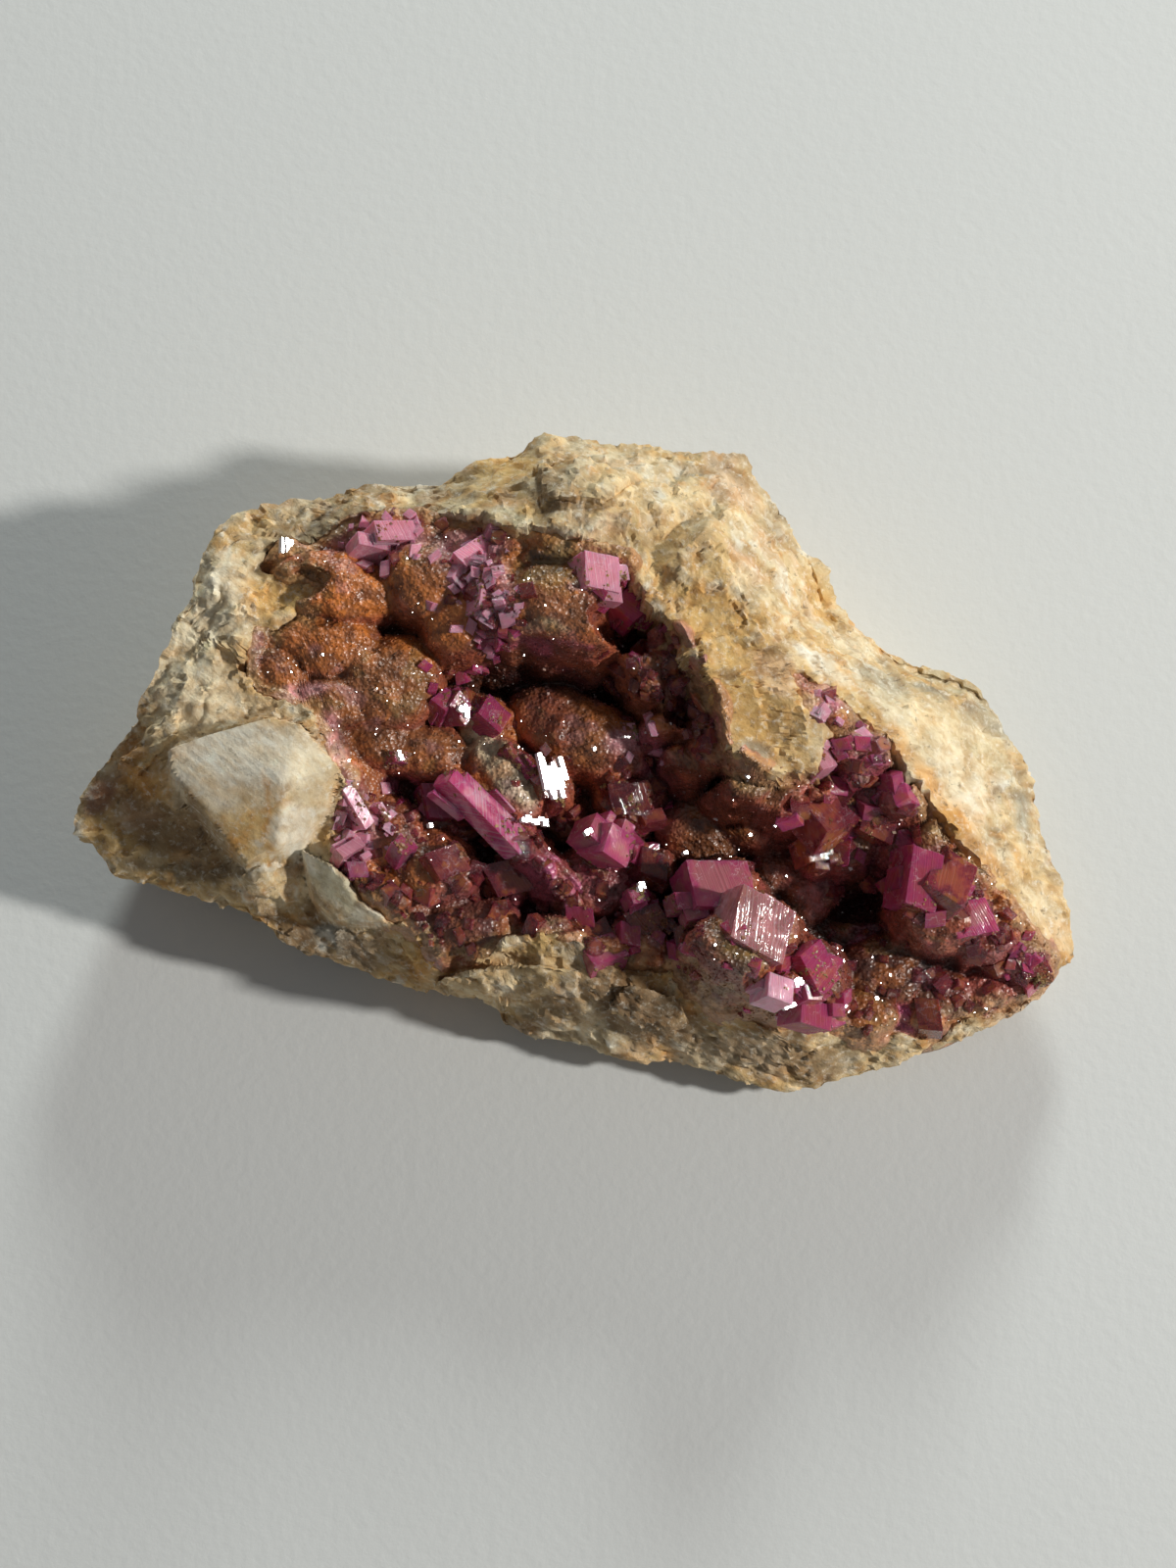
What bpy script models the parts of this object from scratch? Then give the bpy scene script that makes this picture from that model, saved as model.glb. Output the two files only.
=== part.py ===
"""A cobaltoan dolomite hand specimen: a lump of broken carbonate rock with a crystal-lined hollow in its top.

Two solids are built, in metres, +Z up, resting on the table at Z = 0: the rock itself, and the one
crust of dolomite crystals that lines its hollow. Places are read off a picture of the specimen taken
from above, as a column and a row on it and a height above the table in millimetres; spot() turns
such a reading into a point of the model.
"""

import math

import bmesh
import bpy
import numpy as np
from mathutils import Matrix, Vector
from mathutils.geometry import delaunay_2d_cdt

MM = 0.001

# How the picture was taken, and so how a reading on it becomes a place
LOOK_DOWN_DEG = 78.0
EYE_DISTANCE_MM = 360.0
READINGS_PER_MM = 11.08
PICTURE_CENTRE = (600.0, 800.0)
AIM_MM = np.array([1.1, -2.6, 15.0])

# Driving dimensions, in millimetres
CRUST_THICKNESS = 3.0
THINNEST_ROCK = 3.4
CRUST_BELOW_RIM = 0.5
GAP = 0.4
CRYSTAL_CLEARANCE = 0.05
LID_HEIGHT = 60.0
CRUST_PITCH = 2.0
FACET_CELL = 9.0
FACET_DEPTH = 1.3
FOOT_ROUGHNESS = 0.8
BLOCK_DEPTH = 9.0
BLOCK_FLARE = 1.5
MOUND_SHARE = 0.62
DOLOMITE_FACE_DEG = 102.9

# Around the rock's widest line, clockwise from the left tip: column, row, height
OUTLINE = [
    (78, 851, 13), (79, 828, 13.5), (96, 791, 14.5), (114, 763, 16.8), (137, 736, 18.6), (142, 711, 19.6),
    (171, 659, 21.0), (175, 634, 21.3), (193, 609, 21.4), (194, 588, 21.3), (213, 562, 21.2), (220, 542, 20.8),
    (251, 524, 19.5), (288, 518, 20), (302, 509, 20), (328, 512, 20), (395, 494, 20), (449, 491, 20.5),
    (478, 477, 20), (524, 461, 19.5), (547, 447, 19), (600, 448, 19), (663, 453, 19), (696, 462, 18.5),
    (759, 464, 17), (776, 493, 16), (805, 524, 15), (812, 547, 15), (833, 573, 14), (849, 619, 13.5),
    (894, 656, 13), (939, 678, 12), (988, 692, 11), (1008, 703, 10.5), (1023, 743, 10), (1050, 783, 9),
    (1061, 850, 8), (1082, 906, 7), (1097, 955, 6), (1094, 976, 5.5), (1063, 1018, 5), (1023, 1041, 4.5),
    (958, 1075, 4), (895, 1092, 4), (832, 1110, 4), (767, 1101, 4), (687, 1085, 4), (623, 1078, 4),
    (591, 1067, 4), (543, 1061, 4), (527, 1052, 4.5), (505, 1031, 6), (480, 1024, 7), (420, 1008, 7.5),
    (360, 983, 9), (307, 967, 9.5), (285, 955, 10), (228, 925, 10.5), (194, 911, 11), (148, 896, 11),
    (121, 889, 11.5), (95, 856, 12.5),
]

# Crests, shoulders and ledges of the rock between that line and the hollow
ROCK_HEIGHTS = [
    (250, 548, 21), (232, 590, 22.0), (215, 640, 22.0), (190, 695, 21.4), (165, 740, 20), (138, 775, 17.5),
    (150, 798, 17.6),
    (245, 650, 22.6), (225, 715, 22.2), (200, 752, 21), (180, 768, 20.8), (240, 748, 22.2),
    (180, 792, 20), (216, 822, 19.6), (262, 884, 17.6), (262, 820, 21), (300, 775, 22), (300, 850, 18.6),
    (325, 815, 20), (298, 884, 15.6), (130, 826, 14.6), (160, 838, 14.2), (196, 848, 14), (226, 874, 13.8),
    (120, 866, 12.6), (160, 882, 12.4), (220, 906, 12.4), (290, 918, 12.4), (330, 905, 13),
    (366, 936, 12.6), (350, 958, 11.4), (410, 968, 11), (460, 1000, 10), (490, 1000, 12.5), (545, 1010, 12),
    (600, 1015, 13), (660, 1030, 11), (740, 1062, 8.6), (820, 1080, 7), (900, 1078, 6), (970, 1064, 5.4),
    (330, 530, 21.5), (390, 510, 22), (450, 505, 23), (510, 500, 25), (560, 480, 24.5), (560, 520, 27),
    (620, 480, 25), (640, 520, 27.4), (700, 500, 25), (740, 500, 22.5), (700, 560, 27.6), (760, 560, 25.5),
    (740, 620, 27), (790, 600, 24), (770, 670, 26.2), (780, 730, 25.6), (800, 640, 24.5), (830, 650, 21),
    (870, 680, 20.5), (920, 720, 19), (900, 700, 19.5), (970, 730, 15.5), (960, 790, 18.6),
    (1000, 800, 15), (1000, 850, 16.6), (1040, 850, 12), (1035, 900, 13), (1062, 920, 10.4), (1082, 955, 8),
]

# Blocks and slabs with sharp edges that stand out of the rock, each by the corners of its upper side
BLOCKS = [
    [(173, 766, 21.8), (213, 751, 22.6), (276, 734, 23.4), (305, 740, 23.4), (290, 800, 23.0), (283, 866, 20.0),
     (347, 784, 21.4), (337, 824, 20.0), (307, 860, 18.8), (251, 881, 18.8), (230, 832, 20.6), (202, 809, 21.2),
     (175, 790, 21.4)],
    [(309, 868, 18.0), (345, 887, 18.2), (395, 915, 17.4), (427, 934, 16.4), (424, 945, 15.2), (345, 940, 13.6),
     (322, 916, 14.8)],
    [(548, 470, 26.4), (600, 466, 27.0), (640, 486, 27.6), (612, 512, 28.4), (560, 506, 28.0)],
    [(690, 585, 27.6), (735, 570, 27.4), (762, 610, 26.6), (748, 655, 26.6), (716, 646, 27.0)],
    [(905, 722, 21.6), (955, 735, 19.4), (1005, 800, 17.2), (985, 838, 18.6), (938, 786, 21.0)],
    [(452, 996, 14.4), (520, 982, 16.6), (590, 990, 16.0), (585, 1012, 14.0), (500, 1016, 12.0)],
    [(640, 1006, 15.2), (690, 1018, 14.2), (700, 1042, 11.6), (655, 1048, 10.8), (620, 1030, 12.4)],
    [(118, 776, 18.6), (150, 742, 20.2), (182, 722, 21.4), (176, 752, 20.8), (140, 786, 19.0)],
]

# The edge of the crust, clockwise from its upper left corner, and the height at which it meets the rock
CRUST_EDGE = [
    (266, 578, 21), (284, 558, 21.4), (345, 543, 22.4), (363, 530, 22.6), (400, 521, 23.2), (440, 520, 24),
    (492, 522, 25.6), (522, 536, 27), (560, 546, 27.8), (600, 552, 28.4), (640, 558, 28.6),
    (658, 582, 28.2), (692, 632, 27.4), (722, 672, 27.2), (738, 712, 27), (748, 748, 26), (762, 782, 25),
    (792, 792, 24), (834, 778, 23), (838, 745, 24), (812, 704, 25), (798, 678, 25.2), (832, 692, 24.4),
    (866, 722, 23.4), (905, 758, 21.8), (940, 806, 20), (972, 850, 18), (1006, 884, 15.8), (1034, 918, 13.4),
    (1060, 952, 11), (1084, 974, 7.6), (1076, 1000, 6.6), (1052, 1022, 6.2), (1012, 1040, 6.4),
    (958, 1056, 6.9), (900, 1062, 8), (850, 1056, 9.4), (800, 1050, 10.8), (745, 1040, 12), (712, 1012, 13.2),
    (684, 992, 14.2), (640, 990, 15.4), (602, 968, 16.6), (568, 954, 17.2), (526, 964, 16.2),
    (482, 982, 14.6), (446, 986, 13.4), (428, 950, 15.2), (398, 934, 16.2), (366, 910, 16.8), (344, 883, 17),
    (338, 850, 18.4), (352, 800, 20.8), (336, 764, 21.8), (314, 730, 22.2), (286, 714, 22), (262, 704, 21.8),
    (250, 680, 21.8), (262, 642, 22.2), (318, 612, 22.6), (322, 598, 22.4), (296, 588, 21.8),
]

# The bed of the hollow, under the crystals
HOLLOW_BED = [
    (350, 590, 20), (330, 650, 19), (300, 680, 19), (400, 640, 18), (380, 720, 17), (450, 600, 18),
    (470, 650, 14), (480, 700, 10), (540, 668, 8), (600, 676, 8), (650, 690, 9), (590, 740, 12),
    (560, 620, 22), (620, 620, 20), (660, 640, 14), (560, 810, 11), (490, 820, 13), (430, 780, 14),
    (410, 860, 14), (500, 910, 10), (560, 920, 9), (640, 860, 11), (640, 940, 11), (700, 760, 11),
    (720, 830, 11), (700, 920, 8.5), (755, 960, 12), (800, 850, 9), (880, 905, 7), (850, 800, 15),
    (900, 820, 14), (940, 870, 13), (900, 970, 8.5), (850, 1010, 9), (950, 1020, 7.2), (990, 960, 8.4),
    (1040, 985, 7.6), (790, 1010, 11), (460, 940, 12), (540, 740, 9), (840, 920, 8.5),
]

# Rounded growths of the crust: column, row, top height, half-width, half-depth, turn in degrees
LUMPS = [
    (345, 592, 24.0, 6.2, 3.4, -8), (440, 583, 25.4, 5.2, 4.4, -20), (474, 622, 24.8, 4.4, 3.9, 20),
    (332, 650, 22.8, 5.4, 3.6, 0), (288, 680, 22.0, 3.6, 3.4, 0), (396, 688, 22.6, 5.2, 4.8, 0),
    (342, 712, 22.0, 4.0, 2.8, 0), (385, 750, 20.6, 3.4, 2.6, 0), (432, 762, 19.8, 4.8, 2.9, -15),
    (578, 608, 28.8, 6.4, 3.9, -8), (512, 600, 27.0, 3.4, 4.6, 10), (474, 684, 14.5, 3.8, 2.2, 0),
    (540, 692, 12.5, 3.0, 2.2, 0), (592, 742, 20.0, 6.8, 3.8, -28), (606, 664, 18.0, 3.5, 1.8, -5),
    (664, 652, 22.6, 3.2, 4.4, 15), (690, 702, 19.0, 3.0, 3.4, 0), (712, 738, 16.5, 2.6, 3.0, 0),
    (640, 802, 16.5, 3.6, 3.0, 0), (700, 790, 14.2, 4.0, 3.4, 0), (722, 840, 14.8, 4.8, 3.8, 0),
    (768, 828, 16.2, 3.4, 3.4, 0), (798, 806, 20.0, 3.4, 2.2, 0), (612, 892, 16.0, 4.6, 3.8, 0),
    (566, 826, 14.6, 3.6, 2.8, 0), (440, 880, 18.0, 4.6, 3.6, -10), (396, 846, 18.6, 3.4, 3.8, 0),
    (482, 942, 15.6, 5.0, 2.8, -5), (514, 786, 20.2, 3.0, 4.6, 38), (452, 828, 16.4, 3.8, 3.4, 0),
    (746, 966, 22.4, 4.0, 3.5, -20), (812, 1002, 17.6, 4.2, 3.8, 0), (862, 850, 16.2, 3.8, 3.0, 0),
    (840, 806, 19.0, 3.2, 2.6, 0), (900, 806, 19.2, 4.2, 3.2, -35), (934, 852, 17.4, 3.4, 2.8, 0),
    (962, 912, 17.2, 4.4, 4.2, -30), (1002, 944, 14.0, 3.4, 3.0, 0), (1040, 972, 10.8, 3.4, 2.8, -20),
    (1012, 1008, 9.0, 4.0, 2.2, -15), (902, 985, 11.0, 4.8, 3.4, 0), (958, 1008, 9.4, 3.8, 2.6, 0),
    (872, 1030, 10.8, 4.0, 2.4, 0), (828, 902, 11.5, 3.4, 3.4, 0), (792, 880, 12.0, 3.0, 2.8, 0),
    (728, 1004, 15.4, 2.8, 2.0, 0), (650, 958, 15.8, 3.0, 2.4, 0), (862, 752, 23.0, 3.6, 1.6, -48),
    (560, 772, 15.5, 3.0, 2.4, 0), (500, 745, 18.6, 3.4, 2.8, -10), (394, 906, 17.6, 3.0, 2.0, -30),
]

# Rhombs that stand out of the crust. Centre of the upper face as column, row and height, the three
# edges, the bearing of the first edge on the picture, and how far and which way the face leans.
CRYSTALS = [
    (737, 901, 20.0, 5.6, 4.3, 5.0, 0, 6, 250), (779, 943, 22.6, 5.4, 4.9, 4.2, -27, 10, 300),
    (797, 1008, 20.4, 2.4, 2.2, 3.0, -18, 14, 290), (838, 986, 18.6, 4.6, 3.2, 4.0, -62, 24, 20),
    (834, 1034, 16.6, 3.8, 2.6, 3.4, -14, 30, 330), (455, 712, 21.2, 2.2, 2.0, 3.0, 42, 22, 150),
    (472, 721, 20.8, 2.8, 2.0, 3.0, -46, 26, 320), (505, 727, 20.6, 3.2, 2.5, 3.4, -42, 16, 30),
    (484, 716, 19.8, 2.6, 2.2, 3.0, -30, 20, 70), (498, 828, 20.6, 10.0, 2.2, 3.6, -44, 22, 225),
    (533, 773, 21.4, 4.2, 1.8, 3.4, -42, 18, 60), (562, 796, 20.6, 2.4, 3.4, 3.2, 8, 20, 10),
    (452, 816, 18.0, 3.7, 3.6, 3.4, 0, 14, 260), (520, 894, 15.6, 4.2, 3.8, 3.8, 14, 24, 280),
    (567, 892, 15.8, 3.6, 3.6, 3.8, 0, 30, 260), (612, 846, 19.6, 2.2, 2.8, 3.4, -38, 30, 140),
    (632, 862, 19.4, 2.8, 2.8, 3.4, -30, 30, 330), (642, 814, 18.4, 3.9, 3.4, 3.6, 0, 18, 280),
    (668, 880, 17.0, 3.0, 2.8, 3.2, -16, 20, 0), (652, 914, 17.8, 1.7, 1.7, 2.4, 12, 12, 340),
    (661, 938, 16.6, 3.8, 3.0, 3.6, 20, 22, 300), (592, 936, 15.8, 3.0, 2.6, 3.2, -10, 34, 250),
    (616, 968, 16.2, 3.4, 2.6, 3.0, 22, 16, 60), (698, 974, 15.6, 2.4, 2.0, 3.0, 10, 20, 200),
    (944, 896, 19.0, 3.4, 6.0, 4.6, -20, 24, 190), (972, 892, 19.0, 4.6, 4.8, 4.4, -34, 14, 60),
    (992, 936, 16.2, 3.8, 3.4, 3.8, 10, 18, 280), (850, 826, 19.8, 4.2, 3.8, 4.0, 26, 24, 130),
    (836, 864, 17.2, 2.9, 2.7, 3.2, 8, 22, 220), (898, 836, 18.6, 3.8, 3.6, 3.8, -24, 20, 300),
    (878, 774, 21.8, 4.2, 2.4, 3.2, -40, 22, 230), (836, 762, 22.8, 1.5, 4.2, 3.2, 18, 18, 200),
    (1056, 984, 11.0, 3.0, 2.4, 3.0, 14, 16, 300), (948, 1034, 10.2, 2.6, 3.4, 3.0, -6, 18, 200),
    (404, 541, 24.8, 5.0, 2.4, 3.4, 4, 24, 280), (388, 554, 24.4, 4.8, 1.8, 3.0, -8, 20, 100),
    (487, 566, 25.8, 4.6, 3.0, 3.6, 34, 20, 200), (505, 612, 27.0, 3.6, 3.2, 3.2, -20, 14, 200),
    (507, 650, 24.2, 3.0, 1.8, 3.4, -20, 30, 270), (615, 583, 29.4, 3.2, 3.2, 3.4, -10, 16, 320),
    (645, 614, 25.4, 3.0, 3.2, 3.4, 40, 26, 200), (663, 612, 25.0, 2.5, 2.3, 3.2, -20, 18, 40),
    (685, 701, 21.4, 2.4, 2.4, 3.0, 10, 22, 200), (366, 822, 20.6, 5.6, 1.9, 3.2, -58, 24, 210),
    (358, 864, 19.4, 3.2, 1.6, 3.0, 32, 20, 250), (365, 886, 18.8, 2.0, 1.7, 2.6, 0, 16, 280),
    (413, 862, 20.0, 2.2, 2.0, 2.8, 30, 18, 120), (457, 878, 19.6, 3.4, 3.2, 3.4, 20, 20, 320),
    (409, 771, 21.0, 1.9, 1.6, 2.6, -6, 22, 300), (640, 746, 19.0, 1.8, 1.6, 2.6, 0, 14, 0),
]


def spot(column, row, height):
    """The point, in millimetres, at that height that the picture shows at that column and row.

    The eye is EYE_DISTANCE_MM from AIM_MM, looking down by LOOK_DOWN_DEG, and the point is where the
    line of sight through the reading meets the level plane at that height. Arrays work as well.
    """
    column, row, height = (np.asarray(v, float) for v in (column, row, height))
    look = math.radians(LOOK_DOWN_DEG)
    back = np.array([0.0, -math.cos(look), math.sin(look)])
    across, up = np.array([1.0, 0.0, 0.0]), np.array([0.0, math.sin(look), math.cos(look)])
    eye = AIM_MM + back * EYE_DISTANCE_MM
    sight = (
        -back * EYE_DISTANCE_MM
        + across * ((column - PICTURE_CENTRE[0]) / READINGS_PER_MM)[..., None]
        + up * ((PICTURE_CENTRE[1] - row) / READINGS_PER_MM)[..., None]
    )
    return eye + sight * ((height - eye[2]) / sight[..., 2])[..., None]


def spots(readings):
    """The points of a list of readings, one row of x, y, z for each."""
    table = np.array([r[:3] for r in readings], float)
    return spot(table[:, 0], table[:, 1], table[:, 2])


class Surface:
    """A smooth height over the plan that passes near a set of points.

    Each point adds a cone with a rounded tip, -sqrt(distance squared + round squared), and a tilted
    plane is added to all of them; the weights come from one linear solve, and ease lets the sheet
    miss each point a little, so that close points don't make it ripple.
    """

    def __init__(self, points, rounding=1.2, ease=0.12):
        self.sites, self.rounding = points[:, :2], rounding
        count = len(points)
        plane = np.column_stack([np.ones(count), self.sites])
        system = np.zeros((count + 3, count + 3))
        system[:count, :count] = self.cones(self.sites) + ease * np.eye(count)
        system[:count, count:], system[count:, :count] = plane, plane.T
        self.weights = np.linalg.solve(system, np.concatenate([points[:, 2], np.zeros(3)]))

    def cones(self, plan):
        apart = plan[:, None, :] - self.sites[None, :, :]
        return -np.sqrt((apart**2).sum(2) + self.rounding**2)

    def __call__(self, plan):
        count = len(self.sites)
        level = self.weights[count] + plan @ self.weights[count + 1 :]
        return self.cones(plan) @ self.weights[:count] + level


def scatter(cells, salt):
    """A repeatable number from 0 to 1 for each row of whole-number cell coordinates."""
    mixed = np.full(len(cells), salt * 9176 + 77, np.uint64)
    for axis, factor in enumerate((374761393, 668265263, 2246822519)):
        mixed = mixed + (cells[:, axis].astype(np.int64) & 0xFFFFFF).astype(np.uint64) * np.uint64(factor)
        mixed = (mixed ^ (mixed >> np.uint64(13))) * np.uint64(1274126177) & np.uint64(0xFFFFFFFF)
    return (mixed ^ (mixed >> np.uint64(16))).astype(float) / 2**32


def facets(points, cell, salt):
    """Broken-rock relief, about -1 to 1: space is cut into cells round scattered seeds, and each
    cell carries its own tilted plane, so neighbouring faces meet at sharp little steps."""
    base = np.floor(points / cell)
    nearest, relief = np.full(len(points), np.inf), np.zeros(len(points))
    for dx in (-1, 0, 1):
        for dy in (-1, 0, 1):
            for dz in (-1, 0, 1):
                home = base + (dx, dy, dz)
                seed = np.column_stack([scatter(home, salt + k) for k in range(3)])
                offset = points / cell - home - seed
                distance = (offset**2).sum(1)
                tilt = np.column_stack([scatter(home, salt + 3 + k) for k in range(3)]) * 2 - 1
                value = (offset * tilt).sum(1) + scatter(home, salt + 6) - 0.5
                closer = distance < nearest
                nearest = np.where(closer, distance, nearest)
                relief = np.where(closer, value, relief)
    return relief


def round_readings(outline, centre, angles):
    """The outline's point at each angle about the centre, straight between its own points."""
    offsets = outline[:, :2] - centre
    bearing = np.arctan2(offsets[:, 1], offsets[:, 0])
    order = np.argsort(bearing)
    bearing, sorted_outline = bearing[order], outline[order]
    return np.column_stack(
        [np.interp(angles, bearing, sorted_outline[:, k], period=2 * math.pi) for k in range(3)]
    )


def rock_grid(top, outline, columns, top_steps, side_steps, foot_steps):
    """The rock's skin as a grid, one ring for each share and one column for each bearing.

    top_steps are shares of the way from the middle out to the widest line, over which the height is
    the top sheet's. side_steps are shares of the way down from there to the table, drawing in as they
    go, and foot_steps shares of the way back to the middle underneath.
    """
    centre = outline[:, :2].mean(0)
    angles = np.linspace(-math.pi, math.pi, columns, endpoint=False)
    rim = round_readings(outline, centre, angles)
    reach = rim[:, :2] - centre
    undercut = 0.80 + 0.08 * np.sin(angles * 2 + 0.6) + 0.03 * np.sin(angles * 5)
    rings = []
    for share in top_steps:
        plan = centre + reach * share
        rings.append(np.column_stack([plan, top(plan)]))
    for share in side_steps:
        drawn_in = 1 - (1 - undercut) * share**1.6
        plan = centre + reach * drawn_in[:, None]
        rings.append(np.column_stack([plan, rings[len(top_steps) - 1][:, 2] * (1 - share)]))
    for share in foot_steps:
        plan = centre + reach * (undercut * (1 - share))[:, None]
        rings.append(np.column_stack([plan, np.zeros(columns)]))
    return np.array(rings), centre


def weathered(rings, centre, first_side, first_foot):
    """The grid with broken facets: pushed outwards, and up under the foot, where it stays off the table."""
    shape = rings.shape
    points = rings.reshape(-1, 3)
    relief = facets(points + 31.0, FACET_CELL, 11).reshape(shape[:2])
    outward = rings[:, :, :2] - centre
    outward /= np.maximum(np.linalg.norm(outward, axis=2, keepdims=True), 1e-9)
    moved = rings.copy()
    ring = np.arange(shape[0])[:, None]
    on_top, on_side = ring < first_side - 1, (ring >= first_side - 1) & (ring < first_foot)
    moved[:, :, 2] += np.where(on_top, relief * FACET_DEPTH, 0)
    moved[:, :, :2] += (np.where(on_side, relief, 0) * 0.6 * FACET_DEPTH)[:, :, None] * outward
    hollow_foot = np.maximum(relief - 0.15, 0) * FOOT_ROUGHNESS * 2
    moved[:, :, 2] += np.where(ring >= first_foot, hollow_foot, 0)
    return moved


def grid_solid(rings, top_pole, foot_pole):
    """A closed mesh from rings of points, with a point at each end."""
    count, columns = rings.shape[:2]
    mesh = bmesh.new()
    verts = [[mesh.verts.new(Vector(p) * MM) for p in ring] for ring in rings]
    ends = [mesh.verts.new(Vector(p) * MM) for p in (top_pole, foot_pole)]
    for c in range(columns):
        after = (c + 1) % columns
        mesh.faces.new((ends[0], verts[0][c], verts[0][after]))
        mesh.faces.new((ends[1], verts[-1][after], verts[-1][c]))
        for r in range(count - 1):
            mesh.faces.new((verts[r][c], verts[r + 1][c], verts[r + 1][after], verts[r][after]))
    bmesh.ops.triangulate(mesh, faces=mesh.faces)
    bmesh.ops.recalc_face_normals(mesh, faces=mesh.faces)
    return mesh


def rock_mesh(top):
    """The whole rock before its hollow is cut for the crust."""
    top_steps = [0.16, 0.3, 0.42, 0.52, 0.6, 0.66, 0.72, 0.775, 0.825, 0.87, 0.91, 0.945, 0.975, 1.0]
    side_steps = [0.1, 0.25, 0.42, 0.6, 0.78, 0.92, 1.0]
    foot_steps = [0.12, 0.3, 0.52, 0.76]
    outline = spots(OUTLINE)
    rings, centre = rock_grid(top, outline, 88, top_steps, side_steps, foot_steps)
    rings = weathered(rings, centre, len(top_steps), len(top_steps) + len(side_steps))
    top_pole = (*centre, float(top(centre[None, :])[0]))
    return grid_solid(rings, top_pole, (*centre, 0.0))


def edge_distance(plan, edge):
    """How far each plan point is inside the closed edge, in millimetres, and below zero outside it."""
    start, along = edge, np.roll(edge, -1, axis=0) - edge
    away = plan[:, None, :] - start[None, :, :]
    share = np.clip((away * along).sum(2) / (along**2).sum(1), 0, 1)
    nearest = np.sqrt(((away - share[..., None] * along) ** 2).sum(2)).min(1)
    rises = (start[:, 1] > plan[:, 1:2]) != (np.roll(edge, -1, axis=0)[:, 1] > plan[:, 1:2])
    crossing = start[:, 0] + away[:, :, 1] * along[:, 0] / np.where(along[:, 1] == 0, 1e-9, along[:, 1])
    inside = (rises & (plan[:, 0:1] < crossing)).sum(1) % 2 == 1
    return np.where(inside, nearest, -nearest)


def lump_tops(plan, bed):
    """The crust's upper face: the bed, or the highest dome that stands over it.

    Besides the lumps, a low mound stands under each rhomb, so that it is rooted in the crust.
    A dome is a quarter-turned ellipse, top - depth * (1 - sqrt(1 - rho squared)), out to its own
    edge, rho = 1, and falls away steeply beyond it.
    """
    height = bed.copy()
    mounds = [
        (c[0], c[1], c[2] - 0.35 * c[5], MOUND_SHARE * c[3], MOUND_SHARE * c[4], c[6]) for c in CRYSTALS
    ]
    for column, row, top, half_width, half_depth, turn in LUMPS + mounds:
        x, y, _ = spot(column, row, top)
        c, s = math.cos(math.radians(turn)), math.sin(math.radians(turn))
        across, along = plan[:, 0] - x, plan[:, 1] - y
        rho = np.hypot((across * c + along * s) / half_width, (along * c - across * s) / half_depth)
        depth = 0.8 * min(half_width, half_depth)
        dome = top - depth * (1 - np.sqrt(np.maximum(1 - rho**2, 0))) - 8 * depth * np.maximum(rho - 1, 0)
        height = np.maximum(height, dome)
    return height


class CrustPlan:
    """The triangles that the crust is made of in plan, shared by the crust and the pocket it sits in."""

    def __init__(self, bed):
        self.edge = spots(CRUST_EDGE)[:, :2]
        points = list(map(Vector, self.edge)) + list(map(Vector, self.filling()))
        count = len(self.edge)
        border = [(i, (i + 1) % count) for i in range(count)]
        verts, _, faces, _, _, _ = delaunay_2d_cdt(points, border, [], 1, 1e-4)
        self.plan = np.array([tuple(v) for v in verts])
        self.faces = [tuple(f) for f in faces]
        self.count = count
        self.bed = bed(self.plan)
        step = np.roll(self.edge, -1, axis=0) - np.roll(self.edge, 1, axis=0)
        outward = np.column_stack([-step[:, 1], step[:, 0]])
        self.outward = outward / np.linalg.norm(outward, axis=1, keepdims=True)

    def filling(self):
        """Points in a hexagonal pattern inside the edge, clear of it by half the pitch."""
        low, high = self.edge.min(0), self.edge.max(0)
        rows = np.arange(low[1], high[1], CRUST_PITCH * math.sqrt(0.75))
        pattern = [
            np.column_stack([
                np.arange(low[0] + (i % 2) * CRUST_PITCH / 2, high[0], CRUST_PITCH),
                np.full(len(np.arange(low[0] + (i % 2) * CRUST_PITCH / 2, high[0], CRUST_PITCH)), y),
            ])
            for i, y in enumerate(rows)
        ]
        pattern = np.concatenate(pattern)
        return pattern[edge_distance(pattern, self.edge) > CRUST_PITCH / 2]

    def upper_face(self):
        """Heights of the crust's upper face, let down at the edge to just below the rock's rim."""
        inward = np.maximum(edge_distance(self.plan, self.edge), 0)
        let_down = CRUST_BELOW_RIM * np.maximum(1 - inward / 2.0, 0)
        crust = lump_tops(self.plan, self.bed - let_down)
        steepest = self.bed - CRUST_BELOW_RIM + 4.0 * inward
        return np.minimum(crust, steepest)

    def solid(self, grow=0.0, lid=None):
        """The crust as a closed slab, or the space it fills: grown all round, and open up to a lid."""
        plan = self.plan.copy()
        plan[: self.count] += self.outward * grow
        lower = np.maximum(self.bed - CRUST_THICKNESS, THINNEST_ROCK) - grow
        upper = self.upper_face() if lid is None else np.full(len(plan), lid)
        mesh = bmesh.new()
        under = [mesh.verts.new(Vector((*p, z)) * MM) for p, z in zip(plan, lower)]
        over = [mesh.verts.new(Vector((*p, z)) * MM) for p, z in zip(plan, upper)]
        for face in self.faces:
            mesh.faces.new([over[i] for i in face])
            mesh.faces.new([under[i] for i in reversed(face)])
        for i in range(self.count):
            after = (i + 1) % self.count
            mesh.faces.new((under[i], under[after], over[after], over[i]))
        bmesh.ops.recalc_face_normals(mesh, faces=mesh.faces)
        return mesh


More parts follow.
